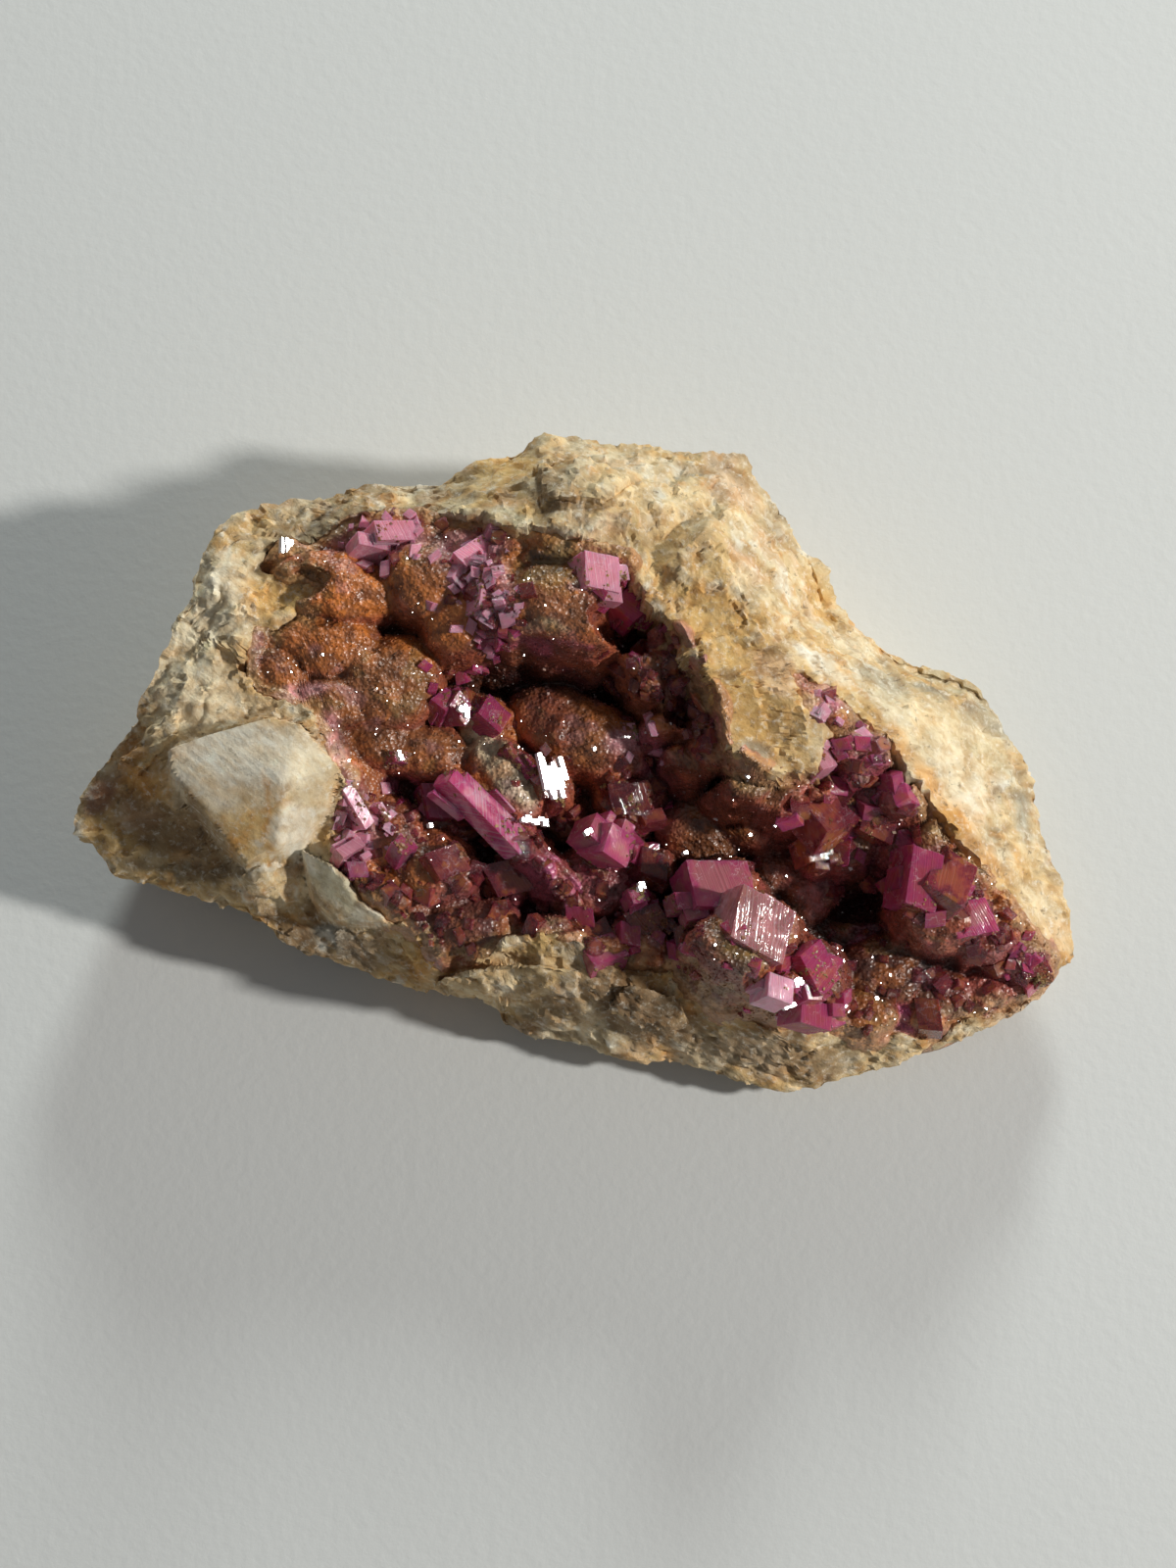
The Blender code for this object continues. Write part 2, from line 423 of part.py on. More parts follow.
def block_mesh(readings):
    """A broken block: the hull of its upper corners and of the same corners spread out lower down."""
    upper = spots(readings)
    outward = upper[:, :2] - upper[:, :2].mean(0)
    outward /= np.linalg.norm(outward, axis=1, keepdims=True)
    lower = upper - np.array([0, 0, BLOCK_DEPTH])
    lower[:, :2] += outward * BLOCK_FLARE
    mesh = bmesh.new()
    for point in np.concatenate([upper, lower]):
        mesh.verts.new(Vector(point) * MM)
    hull = bmesh.ops.convex_hull(mesh, input=mesh.verts)
    spare = [v for v in hull["geom_interior"] + hull["geom_unused"] if isinstance(v, bmesh.types.BMVert)]
    bmesh.ops.delete(mesh, geom=list(set(spare)), context="VERTS")
    bmesh.ops.recalc_face_normals(mesh, faces=mesh.faces)
    return mesh


def rhomb_mesh(reading):
    """A dolomite rhomb: three edges from one blunt corner, each at the same angle to the others.

    Two of the edges lie in the upper face and the third goes down. The face is turned to its bearing,
    leant over, and moved so that its centre is at the reading.
    """
    column, row, height, first, second, third, bearing, lean, lean_way = reading
    blunt = math.radians(DOLOMITE_FACE_DEG)
    a, b = Vector((1, 0, 0)), Vector((math.cos(blunt), math.sin(blunt), 0))
    drift = math.cos(blunt) / (1 + math.cos(blunt))
    level = (a + b) * drift
    c = level - Vector((0, 0, math.sqrt(1 - level.length_squared)))
    turn = Matrix.Rotation(math.radians(bearing), 3, "Z")
    way = math.radians(lean_way)
    tip = Matrix.Rotation(math.radians(lean), 3, Vector((-math.sin(way), math.cos(way), 0)))
    a, b, c = (tip @ turn @ v * size for v, size in ((a, first), (b, second), (c, third)))
    corner = Vector(spot(column, row, height)) - (a + b) / 2
    mesh = bmesh.new()
    corners = [mesh.verts.new((corner + a * i + b * j + c * k) * MM) for k in (0, 1) for j in (0, 1) for i in (0, 1)]
    for face in ((0, 1, 3, 2), (4, 6, 7, 5), (0, 4, 5, 1), (2, 3, 7, 6), (0, 2, 6, 4), (1, 5, 7, 3)):
        mesh.faces.new([corners[i] for i in face])
    bmesh.ops.recalc_face_normals(mesh, faces=mesh.faces)
    return mesh


def finish(name, colour, roughness):
    """A plain dielectric material."""
    material = bpy.data.materials.new(name)
    material.use_nodes = True
    shader = material.node_tree.nodes["Principled BSDF"]
    shader.inputs["Base Color"].default_value = (*colour, 1.0)
    shader.inputs["Roughness"].default_value = roughness
    shader.inputs["Metallic"].default_value = 0.0
    return material


def place(name, mesh, material=None, collection=None):
    """Makes an object of the mesh. A helper has no material and stays out of the render."""
    data = bpy.data.meshes.new(name)
    mesh.to_mesh(data)
    mesh.free()
    thing = bpy.data.objects.new(name, data)
    (collection or bpy.context.scene.collection).objects.link(thing)
    if material:
        data.materials.append(material)
    else:
        thing.hide_render = True
        thing.display_type = "WIRE"
    return thing


def combine(target, name, operation, operand):
    """Adds an exact Boolean with an object or a collection."""
    step = target.modifiers.new(name, "BOOLEAN")
    step.operation = operation
    step.solver = "EXACT"
    if isinstance(operand, bpy.types.Collection):
        step.operand_type = "COLLECTION"
        step.collection = operand
    else:
        step.object = operand


def main():
    for thing in list(bpy.data.objects):
        bpy.data.objects.remove(thing, do_unlink=True)
    top = Surface(spots(OUTLINE + ROCK_HEIGHTS + CRUST_EDGE))
    bed = Surface(spots(OUTLINE + ROCK_HEIGHTS + CRUST_EDGE + HOLLOW_BED))
    crust_plan = CrustPlan(bed)

    rock = place("matrix_rock", rock_mesh(top), finish("ochre_carbonate_rock", (0.60, 0.47, 0.26), 0.85))
    blocks = bpy.data.collections.new("block_shapes")
    bpy.context.scene.collection.children.link(blocks)
    for number, readings in enumerate(BLOCKS):
        place(f"block_shape_{number}", block_mesh(readings), collection=blocks)
    combine(rock, "join blocks", "UNION", blocks)
    pocket = place("crust_pocket_cutter", crust_plan.solid(GAP, LID_HEIGHT))
    combine(rock, "cut crust pocket", "DIFFERENCE", pocket)

    crust = place("dolomite_crust", crust_plan.solid(), finish("rusty_pink_dolomite", (0.30, 0.07, 0.06), 0.35))
    crystals = bpy.data.collections.new("crystal_shapes")
    bpy.context.scene.collection.children.link(crystals)
    for number, reading in enumerate(CRYSTALS):
        place(f"crystal_shape_{number:02d}", rhomb_mesh(reading), collection=crystals)
    combine(crust, "join crystals", "UNION", crystals)
    space = place("crust_space", crust_plan.solid(CRYSTAL_CLEARANCE, LID_HEIGHT))
    combine(crust, "keep within pocket", "INTERSECT", space)


main()
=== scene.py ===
"""Dresses a cobaltoan dolomite hand specimen: broken ochre rock with a hollow lined by pink crystals.

Places are read off a picture of the specimen taken from above, as a column and a row on it and a
height above the table in millimetres. spot() turns such a reading into a point of the model. All
forms are worked out in millimetres and put into the meshes in metres.
"""

import functools
import math

import bmesh
import bpy
import numpy as np
from mathutils import Matrix, Vector


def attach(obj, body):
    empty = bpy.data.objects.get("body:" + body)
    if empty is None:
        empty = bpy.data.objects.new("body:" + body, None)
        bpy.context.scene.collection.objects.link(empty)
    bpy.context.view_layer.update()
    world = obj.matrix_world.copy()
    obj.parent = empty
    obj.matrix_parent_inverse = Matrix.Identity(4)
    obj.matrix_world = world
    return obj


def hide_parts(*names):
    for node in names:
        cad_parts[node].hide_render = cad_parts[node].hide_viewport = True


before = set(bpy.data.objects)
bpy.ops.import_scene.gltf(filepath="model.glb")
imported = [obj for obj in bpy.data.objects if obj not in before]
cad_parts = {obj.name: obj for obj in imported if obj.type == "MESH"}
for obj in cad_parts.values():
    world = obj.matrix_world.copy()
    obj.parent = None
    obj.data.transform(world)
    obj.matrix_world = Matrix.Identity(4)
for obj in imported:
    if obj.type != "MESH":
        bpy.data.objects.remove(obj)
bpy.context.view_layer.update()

bl_info = {
    "name": "Dolomite hand specimen",
    "version": (1, 0, 0),
    "blender": (4, 5, 0),
    "location": "3D View > Sidebar > Specimen",
    "description": "Makes the rock, its crystal crust and the stage",
    "category": "Object",
}

MM = 0.001

# How the picture was taken, and so how a reading on it becomes a place
LOOK_DOWN_DEG = 78.0
EYE_DISTANCE_MM = 360.0
READINGS_PER_MM = 11.08
PICTURE_CENTRE = (600.0, 800.0)
AIM_MM = np.array([1.1, -2.6, 15.0])

# The rock's driving dimensions, in millimetres, as its solids have them
CRUST_THICKNESS = 3.0
THINNEST_ROCK = 3.4
FACET_CELL = 9.0
FACET_DEPTH = 1.3
FOOT_ROUGHNESS = 0.8
BLOCK_PROUD = 0.6
CLEAN_BLOCKS = 2
BLOCK_DEPTH = 9.0
BLOCK_FLARE = 1.5
MOUND_SHARE = 0.62
DOLOMITE_FACE_DEG = 102.9
SOLID_COLUMNS = 88
TOP_STEPS = [0.16, 0.3, 0.42, 0.52, 0.6, 0.66, 0.72, 0.775, 0.825, 0.87, 0.91, 0.945, 0.975, 1.0]
SIDE_STEPS = [0.1, 0.25, 0.42, 0.6, 0.78, 0.92, 1.0]
FOOT_STEPS = [0.12, 0.3, 0.52, 0.76]

# The rings of the rock's skin, from the middle of its top: the widest one, the one at the foot's edge,
# and how many there are
WIDEST_RING = len(TOP_STEPS) - 1
FOOT_RING = WIDEST_RING + len(SIDE_STEPS)
SOLID_RINGS = FOOT_RING + len(FOOT_STEPS) + 1

# How many points are worked on at a time, and the step of the grid that keeps the crust's usual level
BATCH = 20000
LEVEL_STEP = 0.8

# How far the crust laps past its edge, and how far it stays inside the rock's outline
CRUST_LAP = 0.9
OUTLINE_GAP = 0.45

# How far inside the crust's edge its crystals begin, the small rhombs that grow into each large one,
# and the shares of the grains that are pale, and of grains and middling rhombs that mirror the lamp
CRYSTAL_MARGIN = 0.3
TWINS = 2
PALE_SHARE = 0.01
SPARKLE_SHARE = 0.026
GLINT_SHARE = 0.03

# How much dolomite bends light, and the angle from which an edge is drawn sharp on rock and rhombs
DOLOMITE_IOR = 1.68
ROCK_SHARP_DEG = 38
RHOMB_SHARP_DEG = 25

# What starts each piece's random draws
GRAIN_SEED = 52
RHOMB_SEED = 25
BRIGHT_SEED = 77

# The window that fills the shadows, in metres, and half the floor's side in millimetres
WINDOW_PLACE = (0.10, 0.69, 0.30)
WINDOW_SIZE = 0.17
FLOOR_REACH = 900

# Around the rock's widest line, clockwise from the left tip: column, row, height
OUTLINE = [
    (78, 851, 13), (79, 828, 13.5), (96, 791, 14.5), (114, 763, 16.8), (137, 736, 18.6), (142, 711, 19.6),
    (171, 659, 21), (175, 634, 21.3), (193, 609, 21.4), (194, 588, 21.3), (213, 562, 21.2), (220, 542, 20.8),
    (251, 524, 19.5), (288, 518, 20), (302, 509, 20), (328, 512, 20), (395, 494, 20), (449, 491, 20.5),
    (478, 477, 20), (524, 461, 19.5), (547, 447, 19), (600, 448, 19), (663, 453, 19), (696, 462, 18.5),
    (759, 464, 17), (776, 493, 16), (805, 524, 15), (812, 547, 15), (833, 573, 14), (849, 619, 13.5),
    (894, 656, 13), (939, 678, 12), (988, 692, 11), (1008, 703, 10.5), (1023, 743, 10), (1050, 783, 9),
    (1061, 850, 8), (1082, 906, 7), (1097, 955, 6), (1094, 976, 5.5), (1063, 1018, 5), (1023, 1041, 4.5),
    (958, 1075, 4), (895, 1092, 4), (832, 1110, 4), (767, 1101, 4), (687, 1085, 4), (623, 1078, 4),
    (591, 1067, 4), (543, 1061, 4), (527, 1052, 4.5), (505, 1031, 6), (480, 1024, 7), (420, 1008, 7.5),
    (360, 983, 9), (307, 967, 9.5), (285, 955, 10), (228, 925, 10.5), (194, 911, 11), (148, 896, 11),
    (121, 889, 11.5), (95, 856, 12.5),
]

# Crests, shoulders and ledges of the rock between that line and the hollow
ROCK_HEIGHTS = [
    (250, 548, 21), (232, 590, 22), (215, 640, 22), (190, 695, 21.4), (165, 740, 20), (138, 775, 17.5),
    (150, 798, 17.6), (245, 650, 22.6), (225, 715, 22.2), (200, 752, 21), (180, 768, 20.8), (240, 748, 22.2),
    (180, 792, 20), (216, 822, 19.6), (262, 884, 17.6), (262, 820, 21), (300, 775, 22), (300, 850, 18.6),
    (325, 815, 20), (298, 884, 15.6), (130, 826, 14.6), (160, 838, 14.2), (196, 848, 14), (226, 874, 13.8),
    (120, 866, 12.6), (160, 882, 12.4), (220, 906, 12.4), (290, 918, 12.4), (330, 905, 13), (366, 936, 12.6),
    (350, 958, 11.4), (410, 968, 11), (460, 1000, 10), (490, 1000, 12.5), (545, 1010, 12), (600, 1015, 13),
    (660, 1030, 11), (740, 1062, 8.6), (820, 1080, 7), (900, 1078, 6), (970, 1064, 5.4), (330, 530, 21.5),
    (390, 510, 22), (450, 505, 23), (510, 500, 25), (560, 480, 24.5), (560, 520, 27), (620, 480, 25),
    (640, 520, 27.4), (700, 500, 25), (740, 500, 22.5), (700, 560, 27.6), (760, 560, 25.5), (740, 620, 27),
    (790, 600, 24), (770, 670, 26.2), (780, 730, 25.6), (800, 640, 24.5), (830, 650, 21), (870, 680, 20.5),
    (920, 720, 19), (900, 700, 19.5), (970, 730, 15.5), (960, 790, 18.6), (1000, 800, 15), (1000, 850, 16.6),
    (1040, 850, 12), (1035, 900, 13), (1062, 920, 10.4), (1082, 955, 8),
]

# Blocks and slabs with sharp edges that stand out of the rock, each by the corners of its upper side
BLOCKS = [
    [(173, 766, 21.8), (213, 751, 22.6), (276, 734, 23.4), (305, 740, 23.4), (290, 800, 23),
     (283, 866, 20), (347, 784, 21.4), (337, 824, 20), (307, 860, 18.8), (251, 881, 18.8),
     (230, 832, 20.6), (202, 809, 21.2), (175, 790, 21.4)],
    [(309, 868, 18), (345, 887, 18.2), (395, 915, 17.4), (427, 934, 16.4), (424, 945, 15.2),
     (345, 940, 13.6), (322, 916, 14.8)],
    [(548, 470, 26.4), (600, 466, 27), (640, 486, 27.6), (612, 512, 28.4), (560, 506, 28)],
    [(690, 585, 27.6), (735, 570, 27.4), (762, 610, 26.6), (748, 655, 26.6), (716, 646, 27)],
    [(452, 996, 14.4), (520, 982, 16.6), (590, 990, 16), (585, 1012, 14), (500, 1016, 12)],
    [(640, 1006, 15.2), (690, 1018, 14.2), (700, 1042, 11.6), (655, 1048, 10.8), (620, 1030, 12.4)],
    [(118, 776, 18.6), (150, 742, 20.2), (182, 722, 21.4), (176, 752, 20.8), (140, 786, 19)],
]

# The edge of the crust, clockwise from its upper left corner, and the height at which it meets the rock
CRUST_EDGE = [
    (266, 578, 21), (284, 558, 21.4), (345, 543, 22.4), (363, 530, 22.6), (400, 521, 23.2), (440, 520, 24),
    (492, 522, 25.6), (522, 536, 27), (560, 546, 27.8), (600, 552, 28.4), (640, 558, 28.6), (650, 584, 28.2),
    (683, 635, 27.4), (712, 676, 27.2), (728, 714, 27), (740, 750, 26), (762, 782, 25), (792, 792, 24),
    (834, 778, 23), (838, 745, 24), (812, 704, 25), (798, 678, 25.2), (832, 692, 24.4), (866, 722, 23.4),
    (905, 758, 21.8), (940, 806, 20), (972, 850, 18), (1006, 884, 15.8), (1034, 918, 13.4), (1060, 952, 11),
    (1084, 974, 7.6), (1076, 1000, 6.6), (1052, 1022, 6.2), (1012, 1040, 6.4), (958, 1056, 6.9),
    (900, 1062, 8), (850, 1056, 9.4), (800, 1050, 10.8), (745, 1040, 12), (712, 1012, 13.2),
    (684, 992, 14.2), (640, 990, 15.4), (602, 968, 16.6), (568, 954, 17.2), (526, 964, 16.2),
    (482, 982, 14.6), (446, 986, 13.4), (428, 950, 15.2), (398, 934, 16.2), (366, 910, 16.8), (344, 883, 17),
    (338, 850, 18.4), (352, 800, 20.8), (336, 764, 21.8), (314, 730, 22.2), (286, 714, 22), (262, 704, 21.8),
    (250, 680, 21.8), (262, 642, 22.2), (318, 612, 22.6), (322, 598, 22.4), (296, 588, 21.8),
]

# The bed of the hollow, under the crystals
HOLLOW_BED = [
    (350, 590, 20), (330, 650, 19), (300, 680, 19), (400, 640, 18), (380, 720, 17), (450, 600, 18),
    (470, 650, 14), (480, 700, 10), (540, 668, 8), (600, 676, 8), (650, 690, 9), (590, 740, 12),
    (560, 620, 22), (620, 620, 20), (660, 640, 14), (560, 810, 11), (490, 820, 13), (430, 780, 14),
    (410, 860, 14), (500, 910, 10), (560, 920, 9), (640, 860, 11), (640, 940, 11), (700, 760, 11),
    (720, 830, 11), (700, 920, 8.5), (755, 960, 12), (800, 850, 9), (880, 905, 7), (850, 800, 15),
    (900, 820, 14), (940, 870, 13), (900, 970, 8.5), (850, 1010, 9), (950, 1020, 7.2), (990, 960, 8.4),
    (1040, 985, 7.6), (790, 1010, 11), (460, 940, 12), (540, 740, 9), (840, 920, 8.5),
]

# Rounded growths of the crust: column, row, top height, half-width, half-depth, turn in degrees
LUMPS = [
    (345, 592, 24, 6.2, 3.4, -8), (440, 583, 25.4, 5.2, 4.4, -20), (474, 622, 24.8, 4.4, 3.9, 20),
    (332, 650, 22.8, 5.4, 3.6, 0), (288, 680, 22, 3.6, 3.4, 0), (396, 688, 22.6, 5.2, 4.8, 0),
    (342, 712, 22, 4, 2.8, 0), (385, 750, 20.6, 3.4, 2.6, 0), (432, 762, 19.8, 4.8, 2.9, -15),
    (578, 608, 28.8, 6.4, 3.9, -8), (512, 600, 27, 3.4, 4.6, 10), (474, 684, 14.5, 3.8, 2.2, 0),
    (540, 692, 12.5, 3, 2.2, 0), (592, 742, 20, 6.8, 3.8, -28), (606, 664, 18, 3.5, 1.8, -5),
    (664, 652, 25.2, 3, 4.3, 15), (690, 702, 22.6, 2.8, 3.3, 0), (710, 740, 20.6, 2.6, 3, 0),
    (640, 802, 16.5, 3.6, 3, 0), (700, 790, 14.2, 4, 3.4, 0), (722, 840, 14.8, 4.8, 3.8, 0),
    (768, 828, 16.2, 3.4, 3.4, 0), (798, 806, 20, 3.4, 2.2, 0), (612, 892, 16, 4.6, 3.8, 0),
    (566, 826, 14.6, 3.6, 2.8, 0), (440, 880, 18, 4.6, 3.6, -10), (396, 846, 18.6, 3.4, 3.8, 0),
    (482, 942, 15.6, 5, 2.8, -5), (514, 786, 20.2, 3, 4.6, 38), (452, 828, 16.4, 3.8, 3.4, 0),
    (746, 966, 22.4, 4, 3.5, -20), (812, 1002, 17.6, 4.2, 3.8, 0), (862, 850, 16.2, 3.8, 3, 0),
    (840, 806, 19, 3.2, 2.6, 0), (900, 806, 19.2, 4.2, 3.2, -35), (934, 852, 17.4, 3.4, 2.8, 0),
    (962, 912, 17.2, 4.4, 4.2, -30), (1002, 944, 14, 3.4, 3, 0), (1040, 972, 10.8, 3.4, 2.8, -20),
    (1012, 1008, 9, 4, 2.2, -15), (902, 985, 11, 4.8, 3.4, 0), (958, 1008, 9.4, 3.8, 2.6, 0),
    (872, 1030, 10.8, 4, 2.4, 0), (828, 902, 11.5, 3.4, 3.4, 0), (792, 880, 12, 3, 2.8, 0),
    (728, 1004, 15.4, 2.8, 2, 0), (650, 958, 15.8, 3, 2.4, 0), (862, 752, 23, 3.6, 1.6, -48),
    (560, 772, 15.5, 3, 2.4, 0), (500, 745, 18.6, 3.4, 2.8, -10), (394, 906, 17.6, 3, 2, -30),
]

# Rhombs that stand out of the crust. Centre of the upper face as column, row and height, the three
# edges, the bearing of the first edge, how far and which way the face leans, and the kind of crystal.
# A lean of GLINT turns the face so that it throws the lamp's light at the eye.
GLINT = -1
CRYSTALS = [
    (737, 901, 20, 5.6, 4.3, 5, 0, 6, 300, "dusky"), (779, 943, 22.6, 5.4, 4.9, 4.2, -27, 12, 335, "clear"),
    (797, 1008, 20.4, 2.4, 2.2, 3, -18, 14, 340, "bar"),
    (838, 986, 18.6, 4.6, 3.2, 4, -62, 24, 20, "magenta"),
    (834, 1034, 16.6, 3.8, 2.6, 3.4, -14, 30, 330, "magenta"),
    (455, 712, 21.2, 2.2, 2, 3, 42, 20, 10, "magenta"),
    (472, 721, 20.8, 2.8, 2, 3, -46, GLINT, 320, "magenta"),
    (505, 727, 20.6, 3.2, 2.5, 3.4, -42, 16, 30, "magenta"),
    (484, 716, 19.8, 2.6, 2.2, 3, -30, 20, 30, "wine"),
    (498, 828, 20.6, 9.4, 1.3, 2.4, -44, 16, 5, "streak"),
    (504, 821, 20.2, 7.6, 0.9, 2.2, -42, 20, 12, "streak"),
    (533, 773, 21.2, 4, 1, 2.6, -42, 18, 20, "magenta"),
    (562, 796, 20.2, 2.4, 3.4, 3.2, 8, GLINT, 10, "wine"),
    (452, 816, 18, 3.7, 3.6, 3.4, 0, 12, 300, "magenta"),
    (520, 894, 15.6, 4.2, 3.8, 3.8, 14, 24, 280, "ember"),
    (567, 892, 15.8, 3.6, 3.6, 3.8, 0, 30, 260, "ember"),
    (612, 846, 19.4, 1.8, 2.2, 3, -38, 22, 10, "dusky"),
    (632, 862, 19.4, 2.8, 2.8, 3.4, -30, 30, 330, "dusky"),
    (642, 814, 18.4, 3.9, 3.4, 3.6, 0, 18, 280, "wine"), (668, 880, 17, 3, 2.8, 3.2, -16, 20, 0, "wine"),
    (652, 914, 17.6, 1.5, 1.3, 2.2, 12, 12, 340, "dusky"),
    (661, 938, 16.6, 3.8, 3, 3.6, 20, 22, 300, "wine"),
    (592, 936, 15.8, 3, 2.6, 3.2, -10, 34, 250, "magenta"),
    (616, 968, 16.2, 3.4, 2.6, 3, 22, 16, 60, "dusky"), (698, 974, 15.6, 2.4, 2, 3, 10, 20, 200, "magenta"),
    (944, 896, 19, 3.4, 6, 4.6, -20, 18, 300, "magenta"),
    (972, 892, 19, 4.6, 4.8, 4.4, -34, 14, 60, "ember"),
    (992, 936, 16.2, 3.8, 3.4, 3.8, 10, 18, 280, "dusky"),
    (850, 826, 19.8, 4.2, 3.8, 4, 26, 20, 30, "ember"), (836, 864, 17.2, 2.9, 2.7, 3.2, 8, 20, 320, "ember"),
    (898, 836, 18.6, 3.8, 3.6, 3.8, -24, 20, 300, "wine"),
    (878, 774, 21.8, 4.2, 2.4, 3.2, -40, 18, 350, "magenta"),
    (836, 762, 22.8, 1.5, 4.2, 3.2, 18, 18, 350, "bar"), (1056, 984, 11, 3, 2.4, 3, 14, 16, 300, "ember"),
    (948, 1034, 10.2, 2.6, 3.4, 3, -6, 18, 200, "wine"), (404, 541, 24.6, 3.6, 1.8, 3, 4, 18, 340, "bar"),
    (382, 552, 24.2, 3, 1.2, 2.6, -8, 18, 20, "bar"), (484, 562, 25.6, 3.2, 1.8, 3, 34, 16, 350, "bar"),
    (503, 612, 26.6, 2.4, 2, 3, -20, 14, 350, "bar"), (507, 650, 24.2, 3, 1.8, 3.4, -20, 30, 270, "magenta"),
    (615, 583, 29.4, 3.2, 3.2, 3.4, -10, 16, 320, "bar"),
    (645, 614, 25.4, 3, 3.2, 3.4, 40, 20, 340, "magenta"),
    (663, 612, 25, 2.5, 2.3, 3.2, -20, 18, 40, "magenta"),
    (685, 701, 21.4, 2.4, 2.4, 3, 10, 22, 200, "wine"), (366, 822, 20.4, 4.2, 1.1, 2.6, -58, 16, 350, "bar"),
    (358, 864, 19.2, 2.4, 1.1, 2.6, 32, 16, 340, "bar"),
    (365, 886, 18.8, 2, 1.7, 2.6, 0, 16, 280, "magenta"),
    (413, 862, 19.6, 1.7, 1.5, 2.4, 30, 18, 20, "dusky"),
    (457, 878, 19.6, 3.4, 3.2, 3.4, 20, 20, 320, "ember"),
    (409, 771, 20.8, 1.5, 1.2, 2.2, -6, GLINT, 300, "magenta"),
    (640, 746, 19, 1.8, 1.6, 2.6, 0, 14, 0, "bar"),
]

